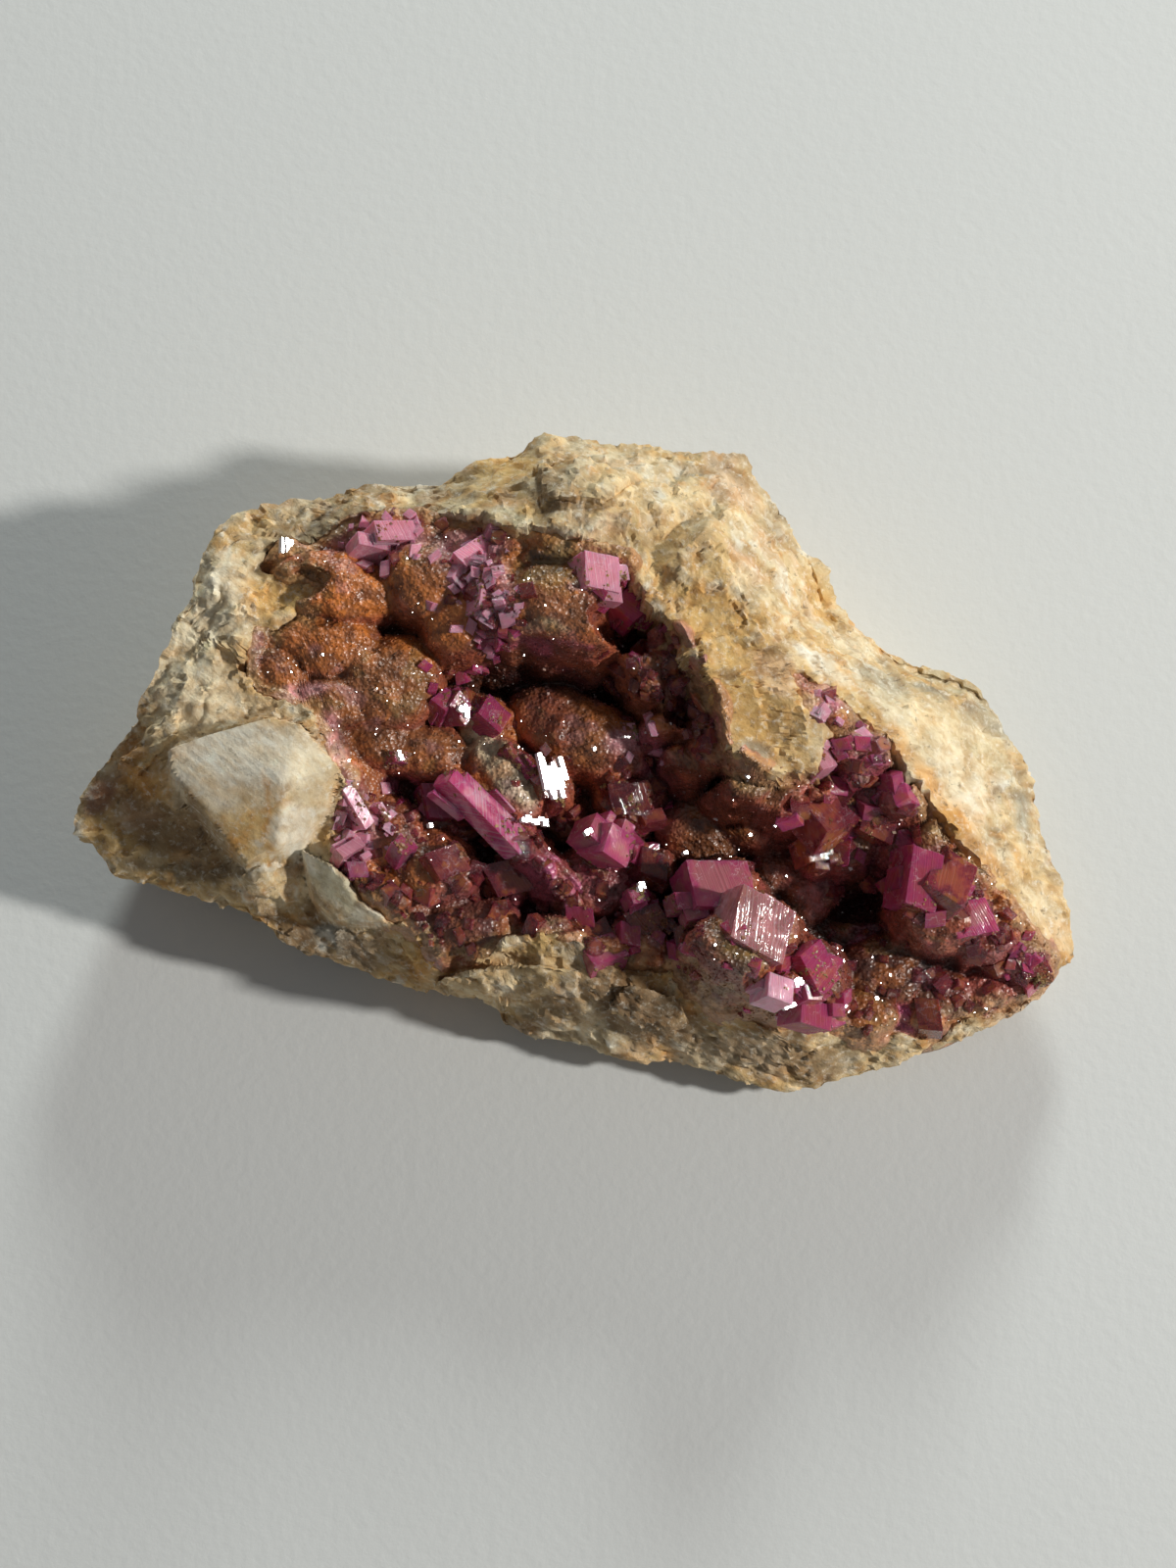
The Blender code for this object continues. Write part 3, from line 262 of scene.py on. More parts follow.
# Patches of colour on the rock: column, row, half-width and half-height on the picture, turn,
# colour, strength. Later ones lie over earlier ones.
ROCK_PATCHES = [
    (262, 540, 50, 16, 8, "ochre", 0.5), (300, 536, 26, 10, 10, "umber", 0.45),
    # The cream and white patches on the left rim, round columns 170-240 and rows 590-750, are partly pale
    # rock and partly painted light on a slope that leans away from the lamp.
    (250, 584, 20, 12, 0, "grey", 0.4), (236, 596, 44, 34, 0, "cream", 0.6),
    (222, 628, 30, 34, 0, "white", 0.85), (212, 600, 24, 20, 0, "white", 0.6),
    (228, 640, 34, 40, 0, "ochre", 0.25), (220, 712, 44, 26, 10, "white", 0.4),
    (135, 800, 26, 14, 0, "orange", 0.7), (212, 650, 34, 60, 30, "cream", 0.5),
    (222, 716, 50, 26, 10, "ochre", 0.4), (226, 604, 16, 7, -20, "white", 0.9),
    (185, 650, 20, 20, 60, "grey", 0.2), (205, 690, 30, 30, 0, "cream", 0.5),
    (170, 690, 18, 26, 60, "cream", 0.7), (240, 664, 16, 30, 0, "ochre", 0.5),
    (290, 610, 46, 26, -12, "ochre", 0.9), (262, 604, 18, 14, 0, "orange", 0.5),
    (300, 632, 26, 10, -10, "cream", 0.4), (270, 700, 26, 12, -20, "ochre", 0.6),
    (215, 620, 40, 50, 20, "cream", 0.6), (185, 690, 40, 50, 30, "cream", 0.5),
    (215, 728, 60, 18, 20, "cream", 0.5), (240, 742, 30, 10, 10, "cream", 0.6),
    (296, 725, 20, 14, -40, "grey", 0.5), (160, 742, 24, 12, 45, "cream", 0.4),
    # The orange and light plum patches in the nook at the left tip, round columns 100-150 and rows 770-815,
    # are partly iron stain and partly painted light where the lamp doesn't reach.
    (120, 790, 34, 12, 50, "plum", 0.4), (100, 815, 18, 14, 50, "plum", 0.7),
    (135, 770, 20, 10, 40, "orange", 0.6), (150, 796, 26, 12, 10, "orange", 0.5),
    (96, 840, 14, 14, 0, "ochre", 0.6), (250, 780, 70, 38, 0, "calcite", 0.95),
    (225, 765, 34, 16, 20, "white", 0.5), (262, 790, 20, 22, 60, "blue_grey", 0.15),
    (320, 800, 20, 44, 20, "cream", 0.6), (300, 850, 24, 20, 30, "calcite", 0.8),
    (272, 832, 5, 36, 5, "orange", 0.7), (228, 800, 8, 34, 50, "ochre", 0.4),
    # On the front-left face, round columns 100-260 and rows 830-915, the umber and dark patches are partly
    # brown rock and partly painted shade.
    (175, 845, 74, 24, -18, "umber", 0.85), (140, 835, 30, 12, -10, "rose", 0.35),
    (230, 885, 28, 14, -25, "umber", 0.7), (245, 872, 12, 8, 0, "orange", 0.6),
    (180, 890, 70, 10, -10, "dark", 0.5), (130, 890, 26, 8, -5, "ochre", 0.6),
    (215, 912, 30, 10, -20, "tan", 0.5), (360, 905, 64, 20, -30, "celadon", 0.95),
    (320, 880, 16, 12, 0, "white", 0.6), (400, 930, 30, 7, -5, "white", 0.7),
    (322, 928, 20, 12, -50, "umber", 0.6), (320, 955, 60, 14, -16, "umber", 0.8),
    (340, 960, 46, 8, -16, "blue_grey", 0.8), (330, 962, 12, 4, 0, "white", 0.7),
    (290, 945, 30, 12, -30, "umber", 0.5), (380, 978, 40, 10, -18, "umber", 0.6),
    (440, 985, 30, 16, 0, "orange", 0.8), (420, 975, 20, 12, 0, "ochre", 0.6),
    (500, 985, 44, 14, 10, "tan", 0.6), (545, 965, 30, 12, 10, "ochre", 0.4),
    (580, 966, 14, 10, 0, "dark", 0.5), (530, 1000, 40, 10, 0, "ochre", 0.5),
    (600, 985, 26, 12, -20, "grey", 0.6), (470, 1012, 40, 8, -10, "ochre", 0.5),
    # Under the front rim, from column 560 to 830 and row 1020 to 1085, the umber and dark patches are partly
    # brown rock and partly painted shade where the rim overhangs and faces away from the lamp.
    (560, 1030, 40, 20, 0, "umber", 0.6), (560, 1052, 20, 8, 0, "cream", 0.6),
    (640, 1020, 50, 26, -20, "umber", 0.9), (650, 1030, 30, 14, 0, "dark", 0.4),
    (600, 1050, 18, 12, -30, "cream", 0.6), (690, 1050, 40, 20, -10, "umber", 0.5),
    (760, 1075, 50, 16, -8, "grey", 0.6), (720, 1085, 30, 10, 0, "cream", 0.4),
    (830, 1085, 40, 14, 0, "umber", 0.5), (940, 720, 70, 30, -30, "celadon", 0.4),
    (1000, 790, 50, 50, -50, "celadon", 0.35), (640, 1036, 30, 14, -10, "dark", 0.4),
    (490, 995, 60, 14, 5, "cream", 0.5), (470, 985, 40, 12, -10, "ochre", 0.5),
    (500, 1000, 60, 18, 5, "tan", 0.5), (540, 982, 10, 5, 0, "dark", 0.5),
    # The umber patches at (650, 1030) and (775, 1075), and the dark one at (640, 1036), are also painted
    # shade under the front rim.
    (900, 1075, 50, 12, 5, "tan", 0.6), (650, 1030, 60, 24, -10, "umber", 0.7),
    (775, 1075, 80, 18, -5, "umber", 0.6), (980, 1058, 50, 10, 15, "cream", 0.6),
    (1040, 1035, 30, 8, 35, "rose", 0.5), (560, 495, 34, 20, -10, "grey", 0.65),
    (560, 512, 14, 10, 0, "umber", 0.6), (530, 470, 30, 10, 20, "ochre", 0.4),
    (640, 470, 60, 16, 0, "cream", 0.4), (665, 503, 16, 9, 20, "blue_grey", 0.5),
    (500, 530, 60, 9, -6, "celadon", 0.7), (580, 540, 40, 10, -10, "cream", 0.8),
    (540, 556, 30, 12, 0, "celadon", 0.6), (650, 545, 8, 26, 20, "olive", 0.7),
    (668, 548, 22, 24, 0, "umber", 0.45), (700, 480, 30, 10, -5, "grey", 0.5),
    (750, 500, 30, 24, -40, "rose", 0.5), (745, 480, 24, 8, -10, "umber", 0.4),
    (790, 540, 14, 30, 40, "umber", 0.35), (710, 530, 40, 34, 0, "tan", 0.6),
    (690, 560, 26, 34, 40, "ochre", 0.5), (760, 575, 10, 24, 40, "rose", 0.6),
    (798, 592, 10, 16, 10, "white", 0.9), (760, 600, 16, 30, 40, "cream", 0.6),
    (735, 640, 44, 34, -40, "ochre", 0.65), (700, 620, 14, 30, 40, "ochre", 0.6),
    (755, 700, 36, 40, -40, "ochre", 0.9), (745, 690, 14, 10, 0, "umber", 0.7),
    (735, 725, 12, 8, 0, "umber", 0.7), (770, 745, 28, 26, -30, "ochre", 0.9),
    (768, 774, 18, 14, -40, "grey", 0.9), (790, 690, 14, 20, 50, "rose", 0.5),
    (830, 672, 34, 12, -35, "white", 0.9), (856, 690, 16, 10, -30, "cream", 0.7),
    (870, 655, 30, 14, -20, "cream", 0.5), (905, 690, 30, 14, -20, "blue_grey", 0.5),
    (950, 705, 16, 12, 0, "blue_grey", 0.6), (1000, 730, 30, 24, -30, "blue_grey", 0.6),
    (960, 690, 40, 10, -15, "celadon", 0.6), (940, 745, 60, 30, -40, "cream", 0.8),
    (975, 790, 40, 40, -50, "white", 0.5), (1010, 770, 24, 14, -40, "celadon", 0.6),
    (1020, 800, 10, 14, 0, "white", 0.7), (1010, 860, 20, 16, -60, "blue_grey", 0.35),
    (1045, 835, 12, 24, 10, "blue_grey", 0.6), (1020, 880, 30, 20, -50, "cream", 0.6),
    (885, 728, 20, 12, -40, "ochre", 0.7), (915, 760, 24, 14, -45, "orange", 0.7),
    (945, 800, 24, 14, -50, "orange", 0.8), (975, 842, 26, 14, -50, "orange", 0.8),
    (1005, 880, 26, 12, -45, "orange", 0.7), (1030, 910, 20, 14, -45, "ochre", 0.5),
    (1060, 915, 24, 20, -60, "cream", 0.8), (965, 758, 60, 50, -30, "tan", 0.55),
    (1070, 935, 24, 40, 0, "tan", 0.4), (480, 990, 50, 10, 0, "orange", 0.3),
    (1078, 950, 18, 24, 20, "peach", 0.7), (1088, 975, 10, 10, 0, "orange", 0.6),
]

# Mottles of the rock: their size in millimetres, the noise level where they start, over how much they
# grow whole, their strength, colour and the noise's number
ROCK_MOTTLES = [
    (7, -0.1, 0.3, 0.75, "ochre", 301), (5, 0.16, 0.25, 0.45, "grey", 311),
    (3.5, 0.17, 0.2, 0.5, "cream", 321), (4.5, 0.2, 0.2, 0.4, "rose", 331),
    (2.6, 0.2, 0.2, 0.55, "umber", 341), (1.6, 0.26, 0.15, 0.6, "white", 351),
    (1.2, 0.2, 0.15, 0.5, "orange", 361),
]

# Mottles of the crust, in the same way
CRUST_MOTTLES = [
    (3.6, 0.02, 0.3, 0.5, "brown", 401), (2.2, 0.12, 0.25, 0.45, "amber", 411),
    (1.6, 0.16, 0.2, 0.5, "dark", 421), (2.8, 0.2, 0.2, 0.4, "olive", 431),
    (2, 0.28, 0.15, 0.2, "pink", 441),
]

# Patches of colour on the crust, in the same way as on the rock. The dark patches are painted shade
# in the caves, under ledges and on slopes that face away from the lamp.
CRUST_PATCHES = [
    (345, 570, 60, 30, -10, "rust", 0.8), (380, 600, 50, 50, 0, "amber", 0.7),
    (440, 600, 40, 30, 0, "rust", 0.6), (350, 640, 50, 30, 0, "amber", 0.6),
    (300, 670, 40, 26, 0, "rust", 0.7), (400, 690, 50, 40, 0, "amber", 0.8),
    (350, 700, 40, 30, 0, "rust", 0.7), (420, 740, 40, 26, 0, "amber", 0.6),
    (395, 545, 44, 16, 0, "pink", 0.8), (465, 538, 44, 14, -10, "wine", 0.8),
    (480, 570, 26, 20, 0, "pink", 0.8), (505, 610, 20, 30, 0, "pink", 0.7),
    (548, 580, 24, 16, 0, "olive", 0.9), (560, 622, 50, 22, 0, "brown", 0.8),
    (545, 643, 30, 6, 5, "cream", 0.6), (600, 610, 16, 30, 0, "rust", 0.6),
    (622, 588, 20, 20, 0, "magenta", 0.7), (560, 685, 60, 26, 0, "dark", 0.7),
    (590, 742, 64, 36, -28, "brown", 0.6), (560, 740, 30, 40, 0, "wine", 0.5),
    (640, 756, 18, 14, 0, "pink", 0.7), (660, 660, 24, 30, 0, "rust", 0.6),
    (690, 700, 26, 30, 0, "wine", 0.6), (720, 740, 20, 30, 0, "brown", 0.7),
    (512, 772, 44, 12, -55, "cream", 0.9), (500, 840, 60, 40, 0, "wine", 0.7),
    (440, 860, 50, 40, 0, "rust", 0.5), (365, 830, 18, 44, 20, "pink", 0.8),
    (400, 900, 30, 24, 0, "rust", 0.7), (412, 862, 14, 14, 0, "cream", 0.5),
    (450, 930, 40, 20, 0, "wine", 0.6), (480, 960, 40, 12, 0, "rust", 0.6),
    (540, 920, 40, 30, 0, "dark", 0.8), (610, 900, 50, 40, 0, "wine", 0.8),
    (650, 800, 40, 40, 0, "wine", 0.7), (700, 800, 50, 40, 0, "brown", 0.7),
    (740, 840, 40, 40, 0, "brown", 0.8), (790, 830, 40, 20, 0, "brown", 0.7),
    (700, 930, 40, 60, 0, "dark", 0.8), (740, 966, 40, 42, 0, "olive", 0.8),
    (745, 950, 22, 9, 0, "cream", 0.7), (765, 925, 18, 12, 0, "amber", 0.7),
    (768, 985, 26, 7, 20, "cream", 0.5), (752, 992, 16, 12, 0, "dark", 0.8),
    (850, 840, 50, 50, 0, "wine", 0.8), (900, 780, 44, 34, -40, "plum", 0.9),
    (930, 840, 40, 40, 0, "wine", 0.7), (880, 910, 50, 40, 0, "dark", 0.9),
    (870, 960, 60, 36, 0, "wine", 0.6), (900, 1000, 80, 30, 0, "brown", 0.7),
    (860, 1034, 34, 12, 0, "dark", 0.6), (920, 1052, 14, 8, 0, "dark", 0.8),
    (960, 970, 50, 40, 0, "wine", 0.7), (1040, 980, 40, 26, 0, "plum", 0.8),
    (1000, 1010, 50, 20, 0, "wine", 0.7), (470, 760, 60, 26, 0, "brown", 0.6),
    (550, 860, 90, 50, 0, "wine", 0.6), (470, 940, 60, 26, 0, "brown", 0.6),
    (890, 1000, 90, 36, 0, "dark", 0.75), (385, 698, 60, 40, 0, "brown", 0.8),
    (715, 1002, 44, 26, 0, "dark", 0.8), (700, 960, 30, 40, 0, "wine", 0.6),
    (1010, 1054, 70, 14, -20, "olive", 0.6), (1000, 1050, 60, 10, -20, "cream", 0.5),
    (1060, 1020, 24, 16, -40, "cream", 0.4), (550, 900, 60, 40, 0, "dark", 0.5),
    (600, 915, 110, 46, 0, "plum", 0.45), (500, 930, 70, 30, 0, "plum", 0.35),
    (475, 945, 64, 30, 0, "dark", 0.55), (660, 850, 40, 60, 0, "plum", 0.4),
    (850, 870, 80, 60, 0, "plum", 0.5), (440, 830, 60, 40, 0, "wine", 0.5),
    (420, 745, 50, 26, 0, "brown", 0.4), (590, 560, 60, 12, 0, "olive", 0.6),
    (640, 566, 30, 16, 0, "amber", 0.5), (880, 985, 80, 40, 0, "dark", 0.4),
    (700, 930, 50, 60, 0, "dark", 0.4), (480, 560, 40, 20, 0, "pink", 0.6),
    (262, 640, 12, 40, 0, "pink", 0.5), (300, 712, 40, 10, 20, "pink", 0.6),
    (340, 760, 14, 34, 10, "pink", 0.6), (850, 705, 40, 16, 40, "pink", 0.6),
    (484, 750, 30, 12, -55, "olive", 0.8), (505, 768, 46, 17, -55, "cream", 1),
    (528, 802, 26, 15, -50, "cream", 1), (660, 900, 60, 60, 0, "dark", 0.35),
    (560, 585, 40, 20, 0, "olive", 0.6), (770, 800, 60, 14, -10, "brown", 0.8),
    (1010, 980, 60, 40, 30, "wine", 0.6),
]

# Faces that mirror the lamp, near-white as a painted highlight too: column, row, height, width and
# depth over the picture, count, bearing
BRIGHT_FACES = [
    (566, 792, 20.9, 2.4, 4.6, 7, 10), (546, 836, 19.8, 2.6, 0.9, 6, -5), (474, 725, 21.2, 1, 1.2, 3, -30),
    (816, 1003, 19.6, 0.9, 0.9, 4, 0), (806, 1026, 18.6, 1.1, 0.8, 4, 20), (600, 847, 20, 0.6, 0.9, 3, 30),
    (409, 771, 21.4, 0.5, 0.8, 2, 0), (294, 554, 21.9, 1, 1.7, 5, -10), (640, 752, 20.4, 0.5, 0.5, 2, 0),
    (655, 905, 18.4, 0.6, 0.9, 3, 10), (440, 842, 19.4, 0.4, 0.5, 2, 0), (700, 870, 17, 0.4, 0.4, 2, 0),
]

# Small growths on the walls of the hollow, in the same way as the rounded growths
KNOBS = [
    (520, 556, 26.4, 2.2, 1.3, 10), (556, 566, 27.2, 2.4, 1.3, 0), (596, 570, 27.6, 2, 1.2, 0),
    (634, 576, 27.8, 1.8, 1.2, 0), (470, 548, 24.8, 2, 1.3, 0), (436, 546, 24.2, 2, 1.4, 0),
    (652, 606, 26.6, 2, 2, 0), (672, 646, 25.6, 2.1, 2.1, 20), (690, 684, 24.6, 2, 2, 20),
    (706, 722, 23.8, 2, 2, 10), (726, 758, 23, 2, 1.8, 30), (762, 800, 22.4, 2.2, 1.3, 0),
    (800, 812, 21.6, 2.2, 1.3, 0), (838, 800, 21, 1.8, 1.6, 0), (852, 732, 24, 1.8, 1.4, 0),
    (888, 765, 22.9, 2.5, 2, 40), (921, 805, 21, 2.8, 2.2, 50), (954, 851, 18.8, 2.8, 2.2, 50),
    (992, 889, 16.8, 2.6, 1.9, 50), (1027, 928, 13.9, 2.2, 1.8, 50), (620, 966, 16.4, 2, 1.2, 0),
    (560, 944, 16.2, 2, 1.2, 0), (690, 972, 14.6, 1.8, 1.3, 30), (300, 604, 21.8, 1.8, 1, 0),
    (280, 640, 21.8, 1.4, 1.6, 0), (270, 690, 21.6, 1.6, 1.2, 0), (330, 742, 21.4, 1.6, 1.4, 0),
    (350, 790, 20.8, 1.4, 1.8, 0), (648, 640, 25.4, 1.6, 1.4, 30), (664, 690, 24.4, 1.5, 1.7, 0),
    (676, 735, 22.6, 1.6, 1.5, 20), (700, 775, 21, 1.7, 1.4, 0),
]

# Caves between the growths: column, row, half-width and half-height on the picture, depth
PITS = [
    (570, 682, 90, 22, 3), (441, 684, 12, 26, 3), (500, 655, 40, 16, 2), (886, 912, 40, 26, 2.6),
    (540, 940, 50, 18, 2.6), (276, 579, 9, 6, 2), (655, 785, 40, 14, 2.2), (700, 930, 16, 40, 2.6),
    (640, 985, 50, 12, 1.6), (480, 765, 30, 14, 2), (430, 730, 14, 12, 1.6), (690, 770, 20, 30, 1.6),
    (590, 800, 24, 30, 2), (420, 905, 14, 12, 1.6), (520, 860, 26, 10, 2), (855, 900, 14, 40, 2),
    (720, 890, 12, 60, 1.4), (800, 900, 10, 30, 2), (925, 940, 18, 20, 2), (610, 880, 14, 20, 1.6),
]

# Clusters of middling crystals: column, row, reach on the picture, count, smallest and largest edge,
# and kind
CLUSTERS = [
    (395, 545, 44, 60, 0.5, 1.6, "bar"), (485, 575, 34, 50, 0.5, 1.7, "bar"),
    (505, 625, 28, 40, 0.5, 1.5, "bar"), (507, 652, 22, 12, 0.6, 1.5, "magenta"),
    (620, 585, 24, 12, 0.7, 1.7, "magenta"), (655, 615, 26, 16, 0.7, 1.8, "magenta"),
    (470, 715, 34, 14, 0.6, 1.6, "magenta"), (365, 830, 46, 60, 0.5, 1.6, "bar"),
    (360, 885, 26, 30, 0.4, 1.3, "magenta"), (445, 815, 30, 14, 0.7, 1.9, "magenta"),
    (405, 905, 30, 16, 0.5, 1.4, "ember"), (455, 950, 36, 20, 0.5, 1.5, "wine"),
    (460, 875, 40, 20, 0.7, 1.9, "wine"), (530, 895, 46, 24, 0.8, 2.2, "wine"),
    (600, 920, 44, 24, 0.8, 2.2, "wine"), (640, 855, 40, 22, 0.8, 2, "magenta"),
    (660, 930, 36, 22, 0.8, 2.2, "magenta"), (645, 805, 36, 16, 0.8, 2, "wine"),
    (570, 830, 40, 14, 0.6, 1.6, "ember"), (740, 900, 40, 12, 0.8, 1.8, "wine"),
    (790, 985, 40, 22, 0.7, 1.9, "magenta"), (835, 1010, 36, 22, 0.8, 2.2, "magenta"),
    (850, 845, 44, 30, 0.9, 2.4, "magenta"), (900, 830, 40, 26, 0.8, 2.2, "wine"),
    (880, 775, 46, 34, 0.7, 2.1, "magenta"), (830, 740, 32, 22, 0.6, 1.7, "bar"),
    (950, 900, 46, 26, 0.8, 2.2, "magenta"), (1000, 945, 40, 26, 0.7, 2, "wine"),
    (1045, 980, 36, 30, 0.6, 1.8, "magenta"), (950, 1025, 60, 26, 0.6, 1.6, "wine"),
    (870, 1000, 60, 20, 0.5, 1.4, "wine"), (660, 756, 20, 12, 0.5, 1.2, "bar"),
    (690, 700, 30, 14, 0.5, 1.4, "wine"), (700, 975, 26, 14, 0.6, 1.6, "magenta"),
    (560, 780, 22, 10, 0.6, 1.4, "clear"), (674, 655, 34, 26, 0.7, 2.1, "ember"),
    (696, 705, 32, 24, 0.7, 2, "wine"), (716, 745, 28, 16, 0.6, 1.7, "ember"),
    (640, 690, 26, 12, 0.6, 1.5, "wine"),
]

# The kinds of large and middling crystals: the colours of their edges and of their hearts, and how
# striped, how rusty and how milky they are
CRYSTAL_KINDS = {
    "magenta": ("magenta", "wine", 0.1, 0.6, 0.45),
    "dusky": ("magenta", "dusky", 0.1, 0.25, 0.5),
    "ember": ("wine", "ember", 0.1, 0.95, 0.35),
    "wine": ("wine", "ember", 0.1, 0.8, 0.25),
    "clear": ("clear", "clear", 0.35, 0.35, 0.5),
    "bar": ("bar", "bar", 0.5, 0.2, 0.8),
    "streak": ("magenta", "bar", 0.7, 0.2, 0.6),
}


def spot(column, row, height):
    """The point, in millimetres, at that height that the picture shows at that column and row.

    The eye is EYE_DISTANCE_MM from AIM_MM, looking down by LOOK_DOWN_DEG, and the point is where the
    line of sight through the reading meets the level plane at that height. Arrays work as well.
    """
    column, row, height = (np.asarray(v, float) for v in (column, row, height))
    look = math.radians(LOOK_DOWN_DEG)
    back = np.array([0.0, -math.cos(look), math.sin(look)])
    across, up = np.array([1.0, 0.0, 0.0]), np.array([0.0, math.sin(look), math.cos(look)])
    eye = AIM_MM + back * EYE_DISTANCE_MM
    sight = (
        -back * EYE_DISTANCE_MM
        + across * ((column - PICTURE_CENTRE[0]) / READINGS_PER_MM)[..., None]
        + up * ((PICTURE_CENTRE[1] - row) / READINGS_PER_MM)[..., None]
    )
    return eye + sight * ((height - eye[2]) / sight[..., 2])[..., None]


def spots(readings):
    """The points of a list of readings, one row of x, y, z for each."""
    table = np.array([r[:3] for r in readings], float)
    return spot(table[:, 0], table[:, 1], table[:, 2])


def eye_point():
    """Where the picture was taken from, in millimetres."""
    look = math.radians(LOOK_DOWN_DEG)
    return AIM_MM + EYE_DISTANCE_MM * np.array([0.0, -math.cos(look), math.sin(look)])


def ease(x):
    """3 x squared - 2 x cubed, with x held between 0 and 1."""
    x = np.clip(x, 0, 1)
    return x * x * (3 - 2 * x)


def unit(vectors):
    """The same directions with length 1."""
    return vectors / np.maximum(np.linalg.norm(vectors, axis=-1, keepdims=True), 1e-12)


class Sheet:
    """A smooth height over the plan that passes near a set of points.

    Each point adds a cone with a rounded tip, -sqrt(distance squared + round squared), and a tilted
    plane is added to all of them; the weights come from one linear solve, and slack lets the sheet
    miss each point a little, so that close points don't make it ripple.
    """

    def __init__(self, points, rounding=1.2, slack=0.12):
        self.sites, self.rounding = points[:, :2], rounding
        count = len(points)
        plane = np.column_stack([np.ones(count), self.sites])
        system = np.zeros((count + 3, count + 3))
        system[:count, :count] = self.cones(self.sites) + slack * np.eye(count)
        system[:count, count:], system[count:, :count] = plane, plane.T
        self.weights = np.linalg.solve(system, np.concatenate([points[:, 2], np.zeros(3)]))

    def cones(self, plan):
        """Each site's cone at each plan point."""
        apart = (plan[:, None, :] - self.sites[None, :, :]) ** 2
        return -np.sqrt(apart[..., 0] + apart[..., 1] + self.rounding**2)

    def __call__(self, plan):
        count = len(self.sites)
        height = np.empty(len(plan))
        for first in range(0, len(plan), BATCH):
            part = plan[first : first + BATCH]
            level = self.weights[count] + part @ self.weights[count + 1 :]
            height[first : first + BATCH] = self.cones(part) @ self.weights[:count] + level
        return height


def scatter(cells, salt):
    """A repeatable number from 0 to 1 for each row of whole-number cell coordinates."""
    mixed = np.full(len(cells), salt * 9176 + 77, np.uint64)
    for axis, factor in enumerate((374761393, 668265263, 2246822519)):
        mixed = mixed + (cells[:, axis].astype(np.int64) & 0xFFFFFF).astype(np.uint64) * np.uint64(factor)
        mixed = (mixed ^ (mixed >> np.uint64(13))) * np.uint64(1274126177) & np.uint64(0xFFFFFFFF)
    return (mixed ^ (mixed >> np.uint64(16))).astype(float) / 2**32


def cells_around(points, cell, salt):
    """For space cut into cells round scattered seeds: the distance to the nearest seed and to the
    next, in cells, the offset from the nearest one, and its home cell."""
    base = np.floor(points / cell)
    near, next_near = np.full(len(points), 9.0), np.full(len(points), 9.0)
    offset, home_of = np.zeros_like(points), np.zeros_like(points)
    for dx in (-1, 0, 1):
        for dy in (-1, 0, 1):
            for dz in (-1, 0, 1):
                home = base + (dx, dy, dz)
                seed = np.column_stack([scatter(home, salt + k) for k in range(3)])
                away = points / cell - home - seed
                distance = np.sqrt((away**2).sum(1))
                closer = distance < near
                next_near = np.where(closer, near, np.minimum(next_near, distance))
                near = np.where(closer, distance, near)
                offset = np.where(closer[:, None], away, offset)
                home_of = np.where(closer[:, None], home, home_of)
    return near, next_near, offset, home_of


def facets(points, cell, salt):
    """Broken-rock relief, about -1 to 1: each cell carries its own tilted plane, so neighbouring
    faces meet at sharp little steps."""
    _, _, offset, home = cells_around(points, cell, salt)
    tilt = np.column_stack([scatter(home, salt + 3 + k) for k in range(3)]) * 2 - 1
    return (offset * tilt).sum(1) + scatter(home, salt + 6) - 0.5


def grains(points, cell, salt):
    """Rounded grains, 0 in the seams to about 1 on top: the next seed's distance less the nearest's."""
    near, next_near, _, _ = cells_around(points, cell, salt)
    return np.minimum(next_near - near, 1)


def noise(points, size, salt):
    """Smooth noise, -1 to 1: random values at the corners of cubes of that size, eased between them."""
    p = points / size
    base = np.floor(p)
    f = p - base
    f = f * f * f * (f * (f * 6 - 15) + 10)
    total = np.zeros(len(points))
    for dx in (0, 1):
        for dy in (0, 1):
            for dz in (0, 1):
                share = np.abs(1 - dx - f[:, 0]) * np.abs(1 - dy - f[:, 1]) * np.abs(1 - dz - f[:, 2])
                total += share * scatter(base + (dx, dy, dz), salt)
    return total * 2 - 1


def rough(points, size, octaves, salt):
    """Noise on noise, about -1 to 1: each octave is half the size and a little over half as strong."""
    total, scale = np.zeros(len(points)), 0.0
    for k in range(octaves):
        total += noise(points + 17.3 * k, size / 2**k, salt + k) * 0.55**k
        scale += 0.55**k
    return total / scale


def edge_distance(plan, edge):
    """How far each plan point is inside the closed edge, in millimetres, and below zero outside it."""
    result = np.empty(len(plan))
    along = np.roll(edge, -1, axis=0) - edge
    after = np.roll(edge, -1, axis=0)
    for first in range(0, len(plan), BATCH):
        part = plan[first : first + BATCH]
        away = part[:, None, :] - edge[None, :, :]
        share = np.clip((away * along).sum(2) / (along**2).sum(1), 0, 1)
        nearest = np.sqrt(((away - share[..., None] * along) ** 2).sum(2)).min(1)
        rises = (edge[:, 1] > part[:, 1:2]) != (after[:, 1] > part[:, 1:2])
        level = np.where(along[:, 1] == 0, 1e-9, along[:, 1])
        crossing = edge[:, 0] + away[:, :, 1] * along[:, 0] / level
        inside = (rises & (part[:, 0:1] < crossing)).sum(1) % 2 == 1
        result[first : first + BATCH] = np.where(inside, nearest, -nearest)
    return result


def landings(patches, sheet):
    """Plan points of patches that are read on a sheet: each line of sight is followed down to it."""
    table = np.array([p[:2] for p in patches], float)
    height = np.full(len(table), 18.0)
    for _ in range(4):
        plan = spot(table[:, 0], table[:, 1], height)[:, :2]
        height = sheet(plan)
    return plan


def ellipse_reach(offsets, half_width, half_depth, turn=0):
    """How far out on a turned ellipse each offset lies: 0 in its middle and 1 on its edge."""
    c, s = math.cos(math.radians(turn)), math.sin(math.radians(turn))
    across, along = offsets.T
    return np.hypot((across * c + along * s) / half_width, (along * c - across * s) / half_depth)


